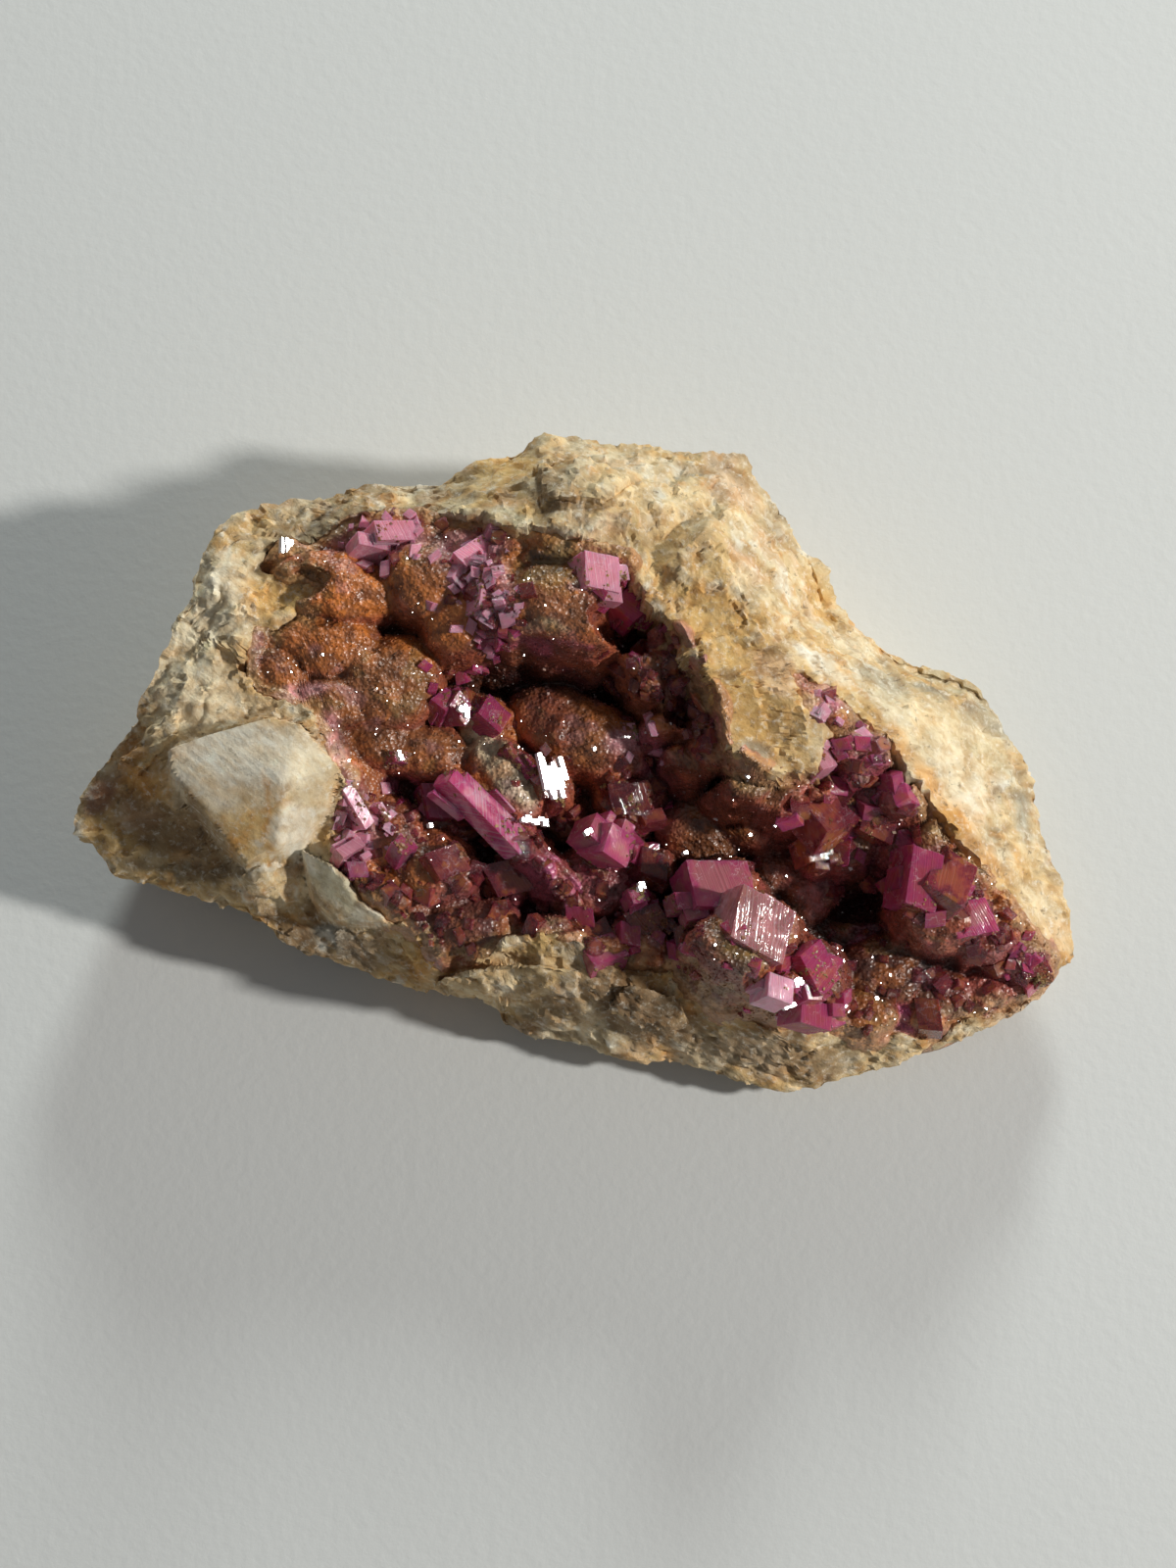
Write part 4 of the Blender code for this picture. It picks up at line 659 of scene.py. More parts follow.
def toward(colour, share, other):
    """The colours, each moved to the other colour by its own share of the way."""
    return colour + share[:, None] * (np.asarray(other) - colour)


def mottled(points, colour, mottles, palette, shade=1.0):
    """The colours with each kind of mottle laid over them in turn, where its noise is high."""
    for size, level, width, strength, name, salt in mottles:
        share = ease((rough(points, size, 4, salt) - level) / width) * strength
        colour = toward(colour, share, np.array(palette[name]) * shade)
    return colour


def painted(points, colour, patches, places, palette, wander, salt):
    """The colours with each patch laid over them in turn.

    A patch is whole inside 0.55 of its ellipse and gone at 1.35, and its edge wanders with noise.
    """
    shift = np.column_stack([rough(points, 3.2, 4, salt + 40 * k) for k in (0, 1)]) * wander
    for (_, _, half_width, half_height, turn, name, strength), place in zip(patches, places):
        offsets = (points[:, :2] + shift - place) * READINGS_PER_MM
        reach = ellipse_reach(offsets, half_width, half_height, turn)
        share = (1 - ease((reach - 0.55) / 0.8)) * strength
        colour = toward(colour, share, palette[name])
    return colour


class Forms:
    """The sheets, edges and blocks that the rock and the crust are shaped by, worked out once."""

    def __init__(self):
        outline, edge = spots(OUTLINE), spots(CRUST_EDGE)
        heights, bed = spots(ROCK_HEIGHTS), spots(HOLLOW_BED)
        self.outline, self.edge = outline, edge[:, :2]
        self.centre = outline[:, :2].mean(0)
        self.rim_sheet = Sheet(np.concatenate([outline, heights, edge]))
        self.bed_sheet = Sheet(np.concatenate([outline, heights, edge, bed]))
        self.blocks = [self.block_planes(readings) for readings in BLOCKS]
        self.pits = landings(PITS, self.bed_sheet)
        self.level_x, self.level_y = np.arange(-34, 49, LEVEL_STEP), np.arange(-29, 25, LEVEL_STEP)
        plan = np.stack(np.meshgrid(self.level_x, self.level_y, indexing="ij"), -1).reshape(-1, 2)
        level = self.crust_level(plan).reshape(len(self.level_x), len(self.level_y))
        self.level = self.blur(self.level_x) @ level @ self.blur(self.level_y)

    @staticmethod
    def blur(along, reach=2.2):
        """Weights that turn values along a line into their average over a bell of that reach."""
        weights = np.exp(-(((along[:, None] - along[None, :]) / reach) ** 2) / 2)
        return weights / weights.sum(0, keepdims=True)

    def sunken(self, points):
        """How far each point is below the crust's usual level round it, in millimetres."""
        x = np.clip((points[:, 0] - self.level_x[0]) / LEVEL_STEP, 0, len(self.level_x) - 2)
        y = np.clip((points[:, 1] - self.level_y[0]) / LEVEL_STEP, 0, len(self.level_y) - 1.01)
        return spread(self.level.T, y, x) - points[:, 2]

    @staticmethod
    def block_planes(readings):
        """The upward planes of a block's hull, as rows of slope in x, slope in y and level."""
        upper = spots(readings)
        outward = unit(upper[:, :2] - upper[:, :2].mean(0))
        lower = upper - np.array([0, 0, BLOCK_DEPTH])
        lower[:, :2] += outward * BLOCK_FLARE
        hull = bmesh.new()
        for point in np.concatenate([upper, lower]):
            hull.verts.new(Vector(point))
        bmesh.ops.convex_hull(hull, input=hull.verts)
        bmesh.ops.recalc_face_normals(hull, faces=hull.faces)
        planes = [
            (-f.normal.x / f.normal.z, -f.normal.y / f.normal.z, f.normal.dot(f.verts[0].co) / f.normal.z)
            for f in hull.faces
            if f.normal.z > 0.05
        ]
        hull.free()
        return np.array(planes)

    def inside(self, plan):
        """How far inside the crust's edge each plan point is, in millimetres, with a ragged edge."""
        level = np.column_stack([plan, np.zeros(len(plan))])
        return edge_distance(plan, self.edge) - 0.25 + 1.3 * rough(level, 3.0, 4, 451)

    def block_height(self, plan, count=None):
        """The height of the highest block at each plan point, out of the first so many: a block's
        height is the lowest of its planes."""
        height = np.full(len(plan), -99.0)
        for planes in self.blocks[:count]:
            height = np.maximum(height, (plan @ planes[:, :2].T + planes[:, 2]).min(1))
        return height

    def crust_level(self, plan):
        """The crust's height at each plan point, with growths whose outlines don't wander."""
        return self.crust_height(plan, 0)[0]

    def crust_height(self, plan, wandering=1.0):
        """The crust's upper face over the plan, how far inside its edge each point is, and how far
        in on a growth, from 0 on the growth's edge to 1 in its middle.

        A growth is top - depth * (1 - sqrt(1 - rho squared)) out to its edge, rho = 1, and falls away
        steeply beyond it. Its outline wanders with noise, and a low mound stands under each rhomb.
        """
        level = np.column_stack([plan, np.zeros(len(plan))])
        wander = np.column_stack([rough(level + 90 * k, 3.4, 3, 60 + 7 * k) for k in (0, 1)])
        moved = plan + wander * 0.75 * wandering
        inside = self.inside(plan)
        bed = self.bed_sheet(plan)
        height = bed - 0.35 * np.clip(0.6 - inside, 0, 1) + 0.15
        for (_, _, half_width, half_height, depth), place in zip(PITS, self.pits):
            reach = ellipse_reach((moved - place) * READINGS_PER_MM, half_width, half_height)
            height -= depth * np.clip(1.3 - reach, 0, 1)
        crown = np.zeros(len(plan))
        mounds = [
            (column, row, top - 0.35 * third, MOUND_SHARE * first, MOUND_SHARE * second, bearing)
            for column, row, top, first, second, third, bearing, *_ in CRYSTALS
        ]
        for column, row, top, half_width, half_depth, turn in LUMPS + KNOBS + mounds:
            rho = ellipse_reach(moved - spot(column, row, top)[:2], half_width, half_depth, turn)
            depth = 0.8 * min(half_width, half_depth)
            dome = top - depth * (1 - np.sqrt(np.maximum(1 - rho**2, 0)))
            dome = dome - 6 * depth * np.maximum(rho - 1, 0)
            crown = np.where(dome > height, np.clip(1 - rho, 0, 1), crown)
            height = np.maximum(height, dome)
        height = np.minimum(height, bed + 4.0 * np.maximum(inside, 0) + 0.1)
        return height - 2.2 * np.clip(-inside - 0.4, 0, 2), inside, crown


@functools.cache
def shared_forms():
    """The forms, worked out once for every piece."""
    return Forms()


def spread(grid, rings, columns):
    """Values of a coarse grid of rings and columns at in-between ring and column numbers."""
    count, around = grid.shape
    r0 = np.clip(np.floor(rings).astype(int), 0, count - 2)
    c0 = np.floor(columns).astype(int)
    fr, fc = rings - r0, columns - c0
    left, right = c0 % around, (c0 + 1) % around
    lower = grid[r0, left] * (1 - fc) + grid[r0, right] * fc
    upper = grid[r0 + 1, left] * (1 - fc) + grid[r0 + 1, right] * fc
    return lower * (1 - fr) + upper * fr


def round_readings(outline, centre, angles):
    """The outline's point at each angle about the centre, straight between its own points."""
    offsets = outline[:, :2] - centre
    bearing = np.arctan2(offsets[:, 1], offsets[:, 0])
    order = np.argsort(bearing)
    bearing, sorted_outline = bearing[order], outline[order]
    return np.column_stack(
        [np.interp(angles, bearing, sorted_outline[:, k], period=2 * math.pi) for k in range(3)]
    )


def skin(forms, ring, angles):
    """The rock's plain skin, as its solid has it, at each ring number and angle: the place over the
    plan, the rim's point at that angle, and how far down the side the ring is, from 0 to 1.

    Up to WIDEST_RING, a ring is a share of the way out from the middle. Then it goes down the drawn-in
    side to FOOT_RING, and back to the middle underneath.
    """
    rim = round_readings(forms.outline, forms.centre, angles)
    reach = rim[:, :2] - forms.centre
    undercut = 0.80 + 0.08 * np.sin(angles * 2 + 0.6) + 0.03 * np.sin(angles * 5)
    out = np.interp(ring, np.arange(len(TOP_STEPS) + 1) - 1, [0.0] + TOP_STEPS)
    down = np.interp(ring, WIDEST_RING + np.arange(len(SIDE_STEPS) + 1), [0.0] + SIDE_STEPS)
    back = np.interp(ring, FOOT_RING + np.arange(len(FOOT_STEPS) + 2), [0.0] + FOOT_STEPS + [1.0])
    share = out * (1 - (1 - undercut) * down**1.6) * (1 - back)
    return forms.centre + reach * share[:, None], rim, down


def solid_relief(forms, rings, bearings):
    """The coarse broken relief of the solid's own rings at each ring number and angle, about -1 to 1."""
    ring = np.repeat(np.arange(float(SOLID_RINGS)), SOLID_COLUMNS)
    angle = np.tile(np.linspace(-math.pi, math.pi, SOLID_COLUMNS, endpoint=False), SOLID_RINGS)
    plan, rim, down = skin(forms, ring, angle)
    side = forms.rim_sheet(rim[:, :2]) * (1 - down)
    height = np.where(ring <= WIDEST_RING, forms.rim_sheet(plan), side)
    relief = facets(np.column_stack([plan, height]) + 31.0, FACET_CELL, 11)
    columns = (bearings + math.pi) / (2 * math.pi) * SOLID_COLUMNS
    return spread(relief.reshape(SOLID_RINGS, SOLID_COLUMNS), rings, columns)


def rock_rings(forms, columns, under, top, side, foot):
    """The ring numbers and the angles of the rock's detailed surface, as rows of columns.

    Columns stand at equal steps along the widest line. The top rings start just inside the crust's
    edge, where the rock dives under the crystals.
    """
    fine = np.linspace(-math.pi, math.pi, 4001)
    walk = round_readings(forms.outline, forms.centre, fine)[:, :2]
    length = np.concatenate([[0], np.cumsum(np.linalg.norm(np.diff(walk, axis=0), axis=1))])
    angles = np.interp(np.linspace(0, length[-1], columns, endpoint=False), length, fine)
    rim = round_readings(forms.outline, forms.centre, angles)
    shares = np.linspace(0.05, 1, 150)
    rays = forms.centre + (rim[:, None, :2] - forms.centre) * shares[None, :, None]
    within = edge_distance(rays.reshape(-1, 2), forms.edge).reshape(columns, -1) > 2.2
    start = shares[np.argmin(within, axis=1)]
    start = np.minimum.reduce([np.roll(start, k) for k in range(-6, 7)])
    down = np.linspace(0, 1, side + 1)[1:, None]
    back = np.linspace(0, 1, foot + 1)[1:, None]
    out = np.concatenate([
        start[None, :] * np.linspace(0.1, 0.94, under)[:, None],
        start[None, :] + (1 - start[None, :]) * np.linspace(0, 1, top)[:, None],
    ])
    rings = np.concatenate([
        np.interp(out, [0.0] + TOP_STEPS, np.arange(len(TOP_STEPS) + 1) - 1),
        np.repeat(WIDEST_RING + len(SIDE_STEPS) * down, columns, axis=1),
        np.repeat(FOOT_RING + len(FOOT_STEPS) * back, columns, axis=1),
    ])
    return rings, np.tile(angles, (len(rings), 1))


def rock_detail(points, on_block):
    """Chips, grains, roughness and the steps of the clean blocks' cleavage, in millimetres."""
    bent = points + 0.5 * np.column_stack([noise(points, 2.6, 21 + k) for k in range(3)])
    calm = 1 - 0.90 * on_block
    lift = 0.42 * rough(bent, 4.5, 4, 31) + 0.30 * facets(bent, 2.7, 41) + 0.22 * facets(bent, 1.15, 51)
    lift += 0.18 * (grains(bent, 0.8, 61) - 0.4) + 0.10 * rough(bent, 1.0, 2, 65)
    cleavage = np.abs(((bent @ np.array([0.55, 0.80, -0.24])) / 0.9) % 1 - 0.5)
    return lift * calm + on_block * 0.10 * cleavage


def rock_skin(forms, columns=740, under=3, top=68, side=46, foot=17):
    """The rock's detailed surface, as rings of points from under the crust to the middle of the foot,
    with the height of its fine relief and how much each point is on a clean block.

    Its height is the rim sheet's or a block's, whichever is higher. The coarse relief is that of the
    solid, and the fine relief is laid over it along the surface's normals.
    """
    shaped, bearings = rock_rings(forms, columns, under, top, side, foot)
    shape = shaped.shape
    rings, bearings = shaped.ravel(), bearings.ravel()
    plan, rim, down = skin(forms, rings, bearings)
    dive = ease((forms.inside(plan) + 0.5) / 1.9) * (rings < WIDEST_RING)
    sheet = forms.rim_sheet(plan)
    clean = forms.block_height(plan, CLEAN_BLOCKS) + BLOCK_PROUD
    block = np.maximum(forms.block_height(plan), clean)
    on_block = ease((clean - sheet + 0.2) / 0.4) * (rings < WIDEST_RING)
    height = np.where(rings <= WIDEST_RING, np.maximum(sheet, block), 0)
    height = height - dive * np.maximum(height - np.maximum(forms.bed_sheet(plan) - 5.5, 2.0), 0)
    height = np.where(rings <= WIDEST_RING, height, forms.rim_sheet(rim[:, :2]) * (1 - down))

    relief = solid_relief(forms, rings, bearings)
    on_top = np.clip(WIDEST_RING - rings, 0, 1)
    on_side = np.clip(rings - (WIDEST_RING - 1), 0, 1) * np.clip(FOOT_RING + 1 - rings, 0, 1)
    on_foot = np.clip(rings - FOOT_RING, 0, 1)
    height = height + relief * FACET_DEPTH * on_top * (1 - on_block) * (1 - dive)
    height = height + np.maximum(relief - 0.15, 0) * FOOT_ROUGHNESS * 2 * on_foot
    push = relief * 0.6 * FACET_DEPTH * on_side
    points = np.column_stack([plan + unit(plan - forms.centre) * push[:, None], height])

    normals = grid_normals(points.reshape(*shape, 3)).reshape(-1, 3)
    lift = rock_detail(points, on_block) * (1 - 0.75 * ease((rings - FOOT_RING) / 1.5))
    points = points + normals * lift[:, None]
    points[:, 2] = np.maximum(points[:, 2], 0)
    return points.reshape(*shape, 3), lift, on_block


def grid_normals(grid):
    """Outward normals of a surface of rings: the step along a ring crossed with the step between rings."""
    along = np.roll(grid, -1, axis=1) - np.roll(grid, 1, axis=1)
    between = np.gradient(grid, axis=0)
    return unit(np.cross(between, along))


def ring_mesh(name, rings):
    """A closed mesh from rings of points, with one more point in the middle of each end."""
    count, columns = rings.shape[:2]
    ends = np.array([rings[0].mean(0), rings[-1].mean(0)])
    points = np.concatenate([rings.reshape(-1, 3), ends])
    index = np.arange(count * columns).reshape(count, columns)
    after = np.roll(index, -1, axis=1)
    quads = np.stack([index[:-1], index[1:], after[1:], after[:-1]], -1).reshape(-1, 4)
    first, last = len(points) - 2, len(points) - 1
    caps = np.concatenate([
        np.stack([np.full(columns, first), index[0], after[0]], -1),
        np.stack([np.full(columns, last), after[-1], index[-1]], -1),
    ])
    return quads_and_tris(name, points, quads, caps)


def with_ends(values):
    """Values at the points of a ring mesh: each end takes the value of the nearest corner."""
    return np.concatenate([values, values[:1], values[-1:]])


def quads_and_tris(name, points, quads, tris=np.zeros((0, 3), int)):
    """A mesh in metres of points in millimetres and its four-sided and three-sided faces."""
    mesh = bpy.data.meshes.new(name)
    mesh.vertices.add(len(points))
    mesh.vertices.foreach_set("co", (np.asarray(points) * MM).astype(np.float32).ravel())
    corners = np.concatenate([quads.ravel(), tris.ravel()]).astype(np.int32)
    starts = np.concatenate([np.arange(len(quads)) * 4, len(quads) * 4 + np.arange(len(tris)) * 3])
    mesh.loops.add(len(corners))
    mesh.loops.foreach_set("vertex_index", corners)
    mesh.polygons.add(len(starts))
    mesh.polygons.foreach_set("loop_start", starts.astype(np.int32))
    mesh.update(calc_edges=True)
    mesh.validate()
    return mesh


def set_points(mesh, name, values):
    """Keeps a number or a colour at each point of the mesh, under that name."""
    values = np.asarray(values, np.float32)
    if values.ndim == 1:
        mesh.attributes.new(name, "FLOAT", "POINT").data.foreach_set("value", values)
        return
    colours = np.column_stack([np.clip(values, 0, 1), np.ones(len(values))]).astype(np.float32)
    mesh.attributes.new(name, "FLOAT_COLOR", "POINT").data.foreach_set("color", colours.ravel())


def add_piece(name, mesh, material, replaces):
    """Puts a finished mesh in the scene as a piece of the specimen, with the material of that name."""
    piece = bpy.data.objects.new(name, mesh)
    bpy.context.scene.collection.objects.link(piece)
    mesh.materials.append(bpy.data.materials.get(material) or MATERIALS[material]())
    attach(piece, "root")
    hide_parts(replaces)


class Number:
    """A number socket that Python's own operators build on: each adds one Math node."""

    def __init__(self, shop, socket):
        self.shop, self.socket = shop, socket

    def math(self, operation, first, second):
        """A Math node on two values."""
        return self.shop.number("ShaderNodeMath", {"operation": operation}, {0: first, 1: second})

    def __add__(self, other):
        return self.math("ADD", self, other)

    def __sub__(self, other):
        return self.math("SUBTRACT", self, other)

    def __rsub__(self, other):
        return self.math("SUBTRACT", other, self)

    def __mul__(self, other):
        return self.math("MULTIPLY", self, other)

    __radd__, __rmul__ = __add__, __mul__

    def eased(self, low, high):
        """0 below low, 1 above high, and smooth between them."""
        settings = {"interpolation_type": "SMOOTHSTEP"}
        return self.shop.number("ShaderNodeMapRange", settings, {0: self, 1: low, 2: high})


class Shop:
    """A new material and the ways to add nodes to it."""

    def __init__(self, name):
        self.material = bpy.data.materials.new(name)
        self.material.use_nodes = True
        self.tree = self.material.node_tree
        self.shader = self.tree.nodes["Principled BSDF"]

    def add(self, kind, settings=None, inputs=None):
        """A node of that kind, with its settings made first and then its sockets set or linked."""
        node = self.tree.nodes.new(kind)
        for key, value in (settings or {}).items():
            setattr(node, key, value)
        for key, value in (inputs or {}).items():
            self.feed(node.inputs[key], value)
        return node

    def feed(self, socket, value):
        """Links a socket or a Number, or sets a plain value."""
        value = value.socket if isinstance(value, Number) else value
        if isinstance(value, bpy.types.NodeSocket):
            self.tree.links.new(value, socket)
        elif isinstance(value, tuple) and len(value) == 3 and socket.type == "RGBA":
            socket.default_value = (*value, 1.0)
        else:
            socket.default_value = value

    def number(self, kind, settings, inputs):
        """The first output of a new node, as a Number."""
        return Number(self, self.add(kind, settings, inputs).outputs[0])

    def place(self):
        """The point's place on the piece, in metres."""
        return self.add("ShaderNodeTexCoord").outputs["Object"]

    def noise(self, scale, detail=4.0, roughness=0.55, where=None):
        """Noise with so many cells to the metre."""
        inputs = {"Vector": where or self.place(), "Scale": scale, "Detail": detail, "Roughness": roughness}
        return self.number("ShaderNodeTexNoise", None, inputs)

    def cells(self, scale):
        """The distance from the middle of the nearest of so many cells to the metre."""
        return self.number("ShaderNodeTexVoronoi", None, {"Vector": self.place(), "Scale": scale})

    def kept(self, name, output="Color"):
        """A number or colour kept at the mesh's points."""
        socket = self.add("ShaderNodeAttribute", {"attribute_name": name}).outputs[output]
        return socket if output == "Color" else Number(self, socket)

    def mix(self, share, first, second, blend="MIX"):
        """Goes from the first colour to the second."""
        node = self.add("ShaderNodeMix", {"data_type": "RGBA", "blend_type": blend})
        self.feed(node.inputs[0], share)
        self.feed(node.inputs[6], first)
        self.feed(node.inputs[7], second)
        return node.outputs[2]

    def bump(self, height, depth):
        """Normals tilted by a height from 0 to 1 that stands for that depth in metres."""
        inputs = {"Height": height, "Distance": depth, "Strength": 1.0}
        return self.add("ShaderNodeBump", None, inputs).outputs[0]

    def set(self, **values):
        """Sets or links the shader's own sockets, named with underlines for spaces."""
        for key, value in values.items():
            self.feed(self.shader.inputs[key.replace("_", " ")], value)
        return self.material


def colour_property(name, description, default):
    """A colour that a user can change."""
    return bpy.props.FloatVectorProperty(
        name=name, description=description, default=default, subtype="COLOR", size=3, min=0.0, max=1.0
    )


class RockSettings(bpy.types.PropertyGroup):
    tan: colour_property("Tan", "The rock's usual colour", (0.80, 0.63, 0.37))
    ochre: colour_property("Ochre", "Yellow iron stain", (0.76, 0.50, 0.19))
    # Orange in the nook at the left tip, and cream and white on the left rim, are laid on partly as painted
    # light.
    orange: colour_property("Orange", "Strong iron stain", (0.74, 0.38, 0.10))
    cream: colour_property("Cream", "Pale rock", (0.90, 0.80, 0.58))
    peach: colour_property("Peach", "Pale orange calcite", (0.90, 0.66, 0.40))
    white: colour_property("White", "White grains", (0.95, 0.92, 0.80))
    calcite: colour_property("Calcite", "The pale block", (0.97, 0.91, 0.76))
    celadon: colour_property("Celadon", "Grey-green calcite", (0.70, 0.66, 0.48))
    grey: colour_property("Grey", "Grey rock", (0.48, 0.43, 0.33))
    blue_grey: colour_property("Blue grey", "Bluish grey rock", (0.36, 0.37, 0.33))
    rose: colour_property("Rose", "Pinkish rock", (0.78, 0.54, 0.38))
    # Umber is brown stain; under the front rim and on the front-left face its patches are partly painted
    # shade.
    umber: colour_property("Umber", "Brown stain", (0.33, 0.22, 0.12))
    olive: colour_property("Olive", "Olive-brown rock", (0.40, 0.28, 0.09))
    plum: colour_property("Plum", "Reddish brown stain", (0.30, 0.13, 0.10))
    # Dark is nearly black grains; under the front rim and on the front-left face its patches are partly
    # painted shade.
    dark: colour_property("Dark", "Nearly black grains", (0.045, 0.04, 0.035))
    stain: colour_property("Stain", "Rust that the rock takes on along the crust", (0.50, 0.24, 0.07))
    wander: bpy.props.FloatProperty(
        name="Patch wander", description="How far the patches' edges wander, in millimetres",
        default=1.6, min=0.0,
    )


class CrustSettings(bpy.types.PropertyGroup):
    rust: colour_property("Rust", "The crust's usual colour", (0.55, 0.170, 0.036))
    amber: colour_property("Amber", "Orange-brown growths", (0.68, 0.215, 0.038))
    brown: colour_property("Brown", "Dark brown growths", (0.30, 0.115, 0.048))
    olive: colour_property("Olive", "Olive-brown growths", (0.34, 0.23, 0.07))
    # Wine also darkens the steep sides of the growths: partly pink rock under thin crust, partly painted
    # shade.
    wine: colour_property("Wine", "Dark red growths", (0.34, 0.068, 0.054))
    plum: colour_property("Plum", "Purplish growths", (0.44, 0.10, 0.17))
    magenta: colour_property("Magenta", "Strong pink", (0.70, 0.13, 0.38))
    pink: colour_property("Pink", "Pale pink", (0.86, 0.45, 0.55))
    cream: colour_property("Cream", "Pale crystals", (0.72, 0.58, 0.38))
    # Dark is painted shade in the caves, under ledges and in deep places; in the mottles it is the crust's
    # own dark spots.
    dark: colour_property("Dark", "The deepest places", (0.085, 0.032, 0.026))
    lip: colour_property("Lip", "Ochre film where the crust laps onto the rock", (0.68, 0.48, 0.22))
    wander: bpy.props.FloatProperty(
        name="Patch wander", description="How far the patches' edges wander, in millimetres",
        default=1.1, min=0.0,
    )
    columns: bpy.props.IntProperty(
        name="Columns", description="Steps along the crust", default=385, min=20
    )
    steps: bpy.props.IntProperty(
        name="Steps", description="Steps across the crust's upper face", default=236, min=20
    )
    grain_count: bpy.props.IntProperty(
        name="Grains", description="Small crystals on the crust", default=14000, min=0
    )


class CrystalSettings(bpy.types.PropertyGroup):
    magenta: colour_property("Magenta", "Edges of the strong pink crystals", (0.92, 0.11, 0.34))
    dusky: colour_property("Dusky", "Faces of the large dull crystal", (0.62, 0.20, 0.24))
    ember: colour_property("Ember", "Orange core of the rusty crystals", (0.52, 0.13, 0.07))
    wine: colour_property("Wine", "Dark red crystals", (0.54, 0.078, 0.13))
    clear: colour_property("Clear", "Palest crystals", (0.92, 0.40, 0.42))
    bar: colour_property("Rose", "Rose bars", (0.98, 0.38, 0.52))
    steps: bpy.props.IntProperty(
        name="Steps", description="Steps along each edge of a large rhomb", default=10, min=1
    )


class StageSettings(bpy.types.PropertyGroup):
    floor: colour_property("Floor", "The table", (0.735, 0.755, 0.755))
    key_place: bpy.props.FloatVectorProperty(
        name="Key light", description="Where the key light is", default=(0.66, -0.069, 0.447),
        size=3, subtype="TRANSLATION",
    )
    key_size: bpy.props.FloatProperty(
        name="Key size", description="The key light's diameter", default=0.06, unit="LENGTH"
    )
    key_power: bpy.props.FloatProperty(
        name="Key power", description="The key light's watts", default=5.0, min=0.0
    )
    fill_power: bpy.props.FloatProperty(
        name="Fill power", description="The window's watts", default=2.9, min=0.0
    )
    sky: bpy.props.FloatProperty(
        name="Room light", description="Light from all round", default=0.14, min=0.0
    )


def rock_material():
    """Broken carbonate rock: the painted colours, mottled, speckled and grainy."""
    shop = Shop("broken_ochre_rock")
    tint = shop.kept("tint")
    coarse = 1.0 - shop.kept("smooth", "Fac") * 0.45
    grain = shop.noise(1500.0, 6.0, 0.7)
    mottle = shop.noise(420.0, 5.0, 0.65)
    skew = shop.add("ShaderNodeMapping", None, {"Vector": shop.place(), "Rotation": (0.0, 0.0, 0.75)})
    drawn = shop.add("ShaderNodeMapping", None, {"Vector": skew.outputs[0], "Scale": (0.3, 1.0, 1.0)})
    streak = shop.noise(1300.0, 5.0, 0.6, drawn.outputs[0])
    body = shop.mix(mottle.eased(0.42, 0.66) * 0.6 * coarse, tint, (0.74, 0.58, 0.40), "MULTIPLY")
    body = shop.mix(streak.eased(0.45, 0.62) * 0.5, body, (0.78, 0.66, 0.50), "MULTIPLY")
    flecked = shop.mix(grain.eased(0.50, 0.72) * 0.6, body, (0.98, 0.93, 0.80))
    specks = shop.noise(1100.0, 5.0, 0.7).eased(0.58, 0.70) * 0.75 * coarse
    height = (grain * 0.6 + streak * 0.6 + mottle * 0.3) * coarse
    return shop.set(
        Base_Color=shop.mix(specks, flecked, (0.20, 0.14, 0.08)), Normal=shop.bump(height, 0.0003),
        Roughness=0.92 - grain.eased(0.55, 0.8) * 0.5, Specular_IOR_Level=0.45,
    )


def crust_material():
    """Druse: painted colours under fine glossy crystals."""
    shop = Shop("rusty_crystal_druse")
    tint = shop.kept("tint")
    cell = shop.cells(2600.0)
    mottle = shop.noise(900.0, 5.0, 0.6)
    shade = shop.mix(mottle.eased(0.36, 0.64), (0.62, 0.55, 0.55), (1.25, 1.25, 1.25))
    return shop.set(
        Base_Color=shop.mix(0.75, tint, shop.mix(1.0, tint, shade, "MULTIPLY")),
        Roughness=0.64 - cell.eased(0.1, 0.6) * 0.3, Normal=shop.bump(cell + mottle * 0.8, 0.00014),
        IOR=DOLOMITE_IOR, Coat_Weight=0.08, Coat_Roughness=0.2,
    )


def grain_material():
    """The small crystals of the druse: glossy, and coloured by what they grow on."""
    shop = Shop("small_druse_crystals")
    tint = shop.kept("tint")
    return shop.set(Base_Color=tint, Roughness=0.5, IOR=DOLOMITE_IOR, Transmission_Weight=0.2)


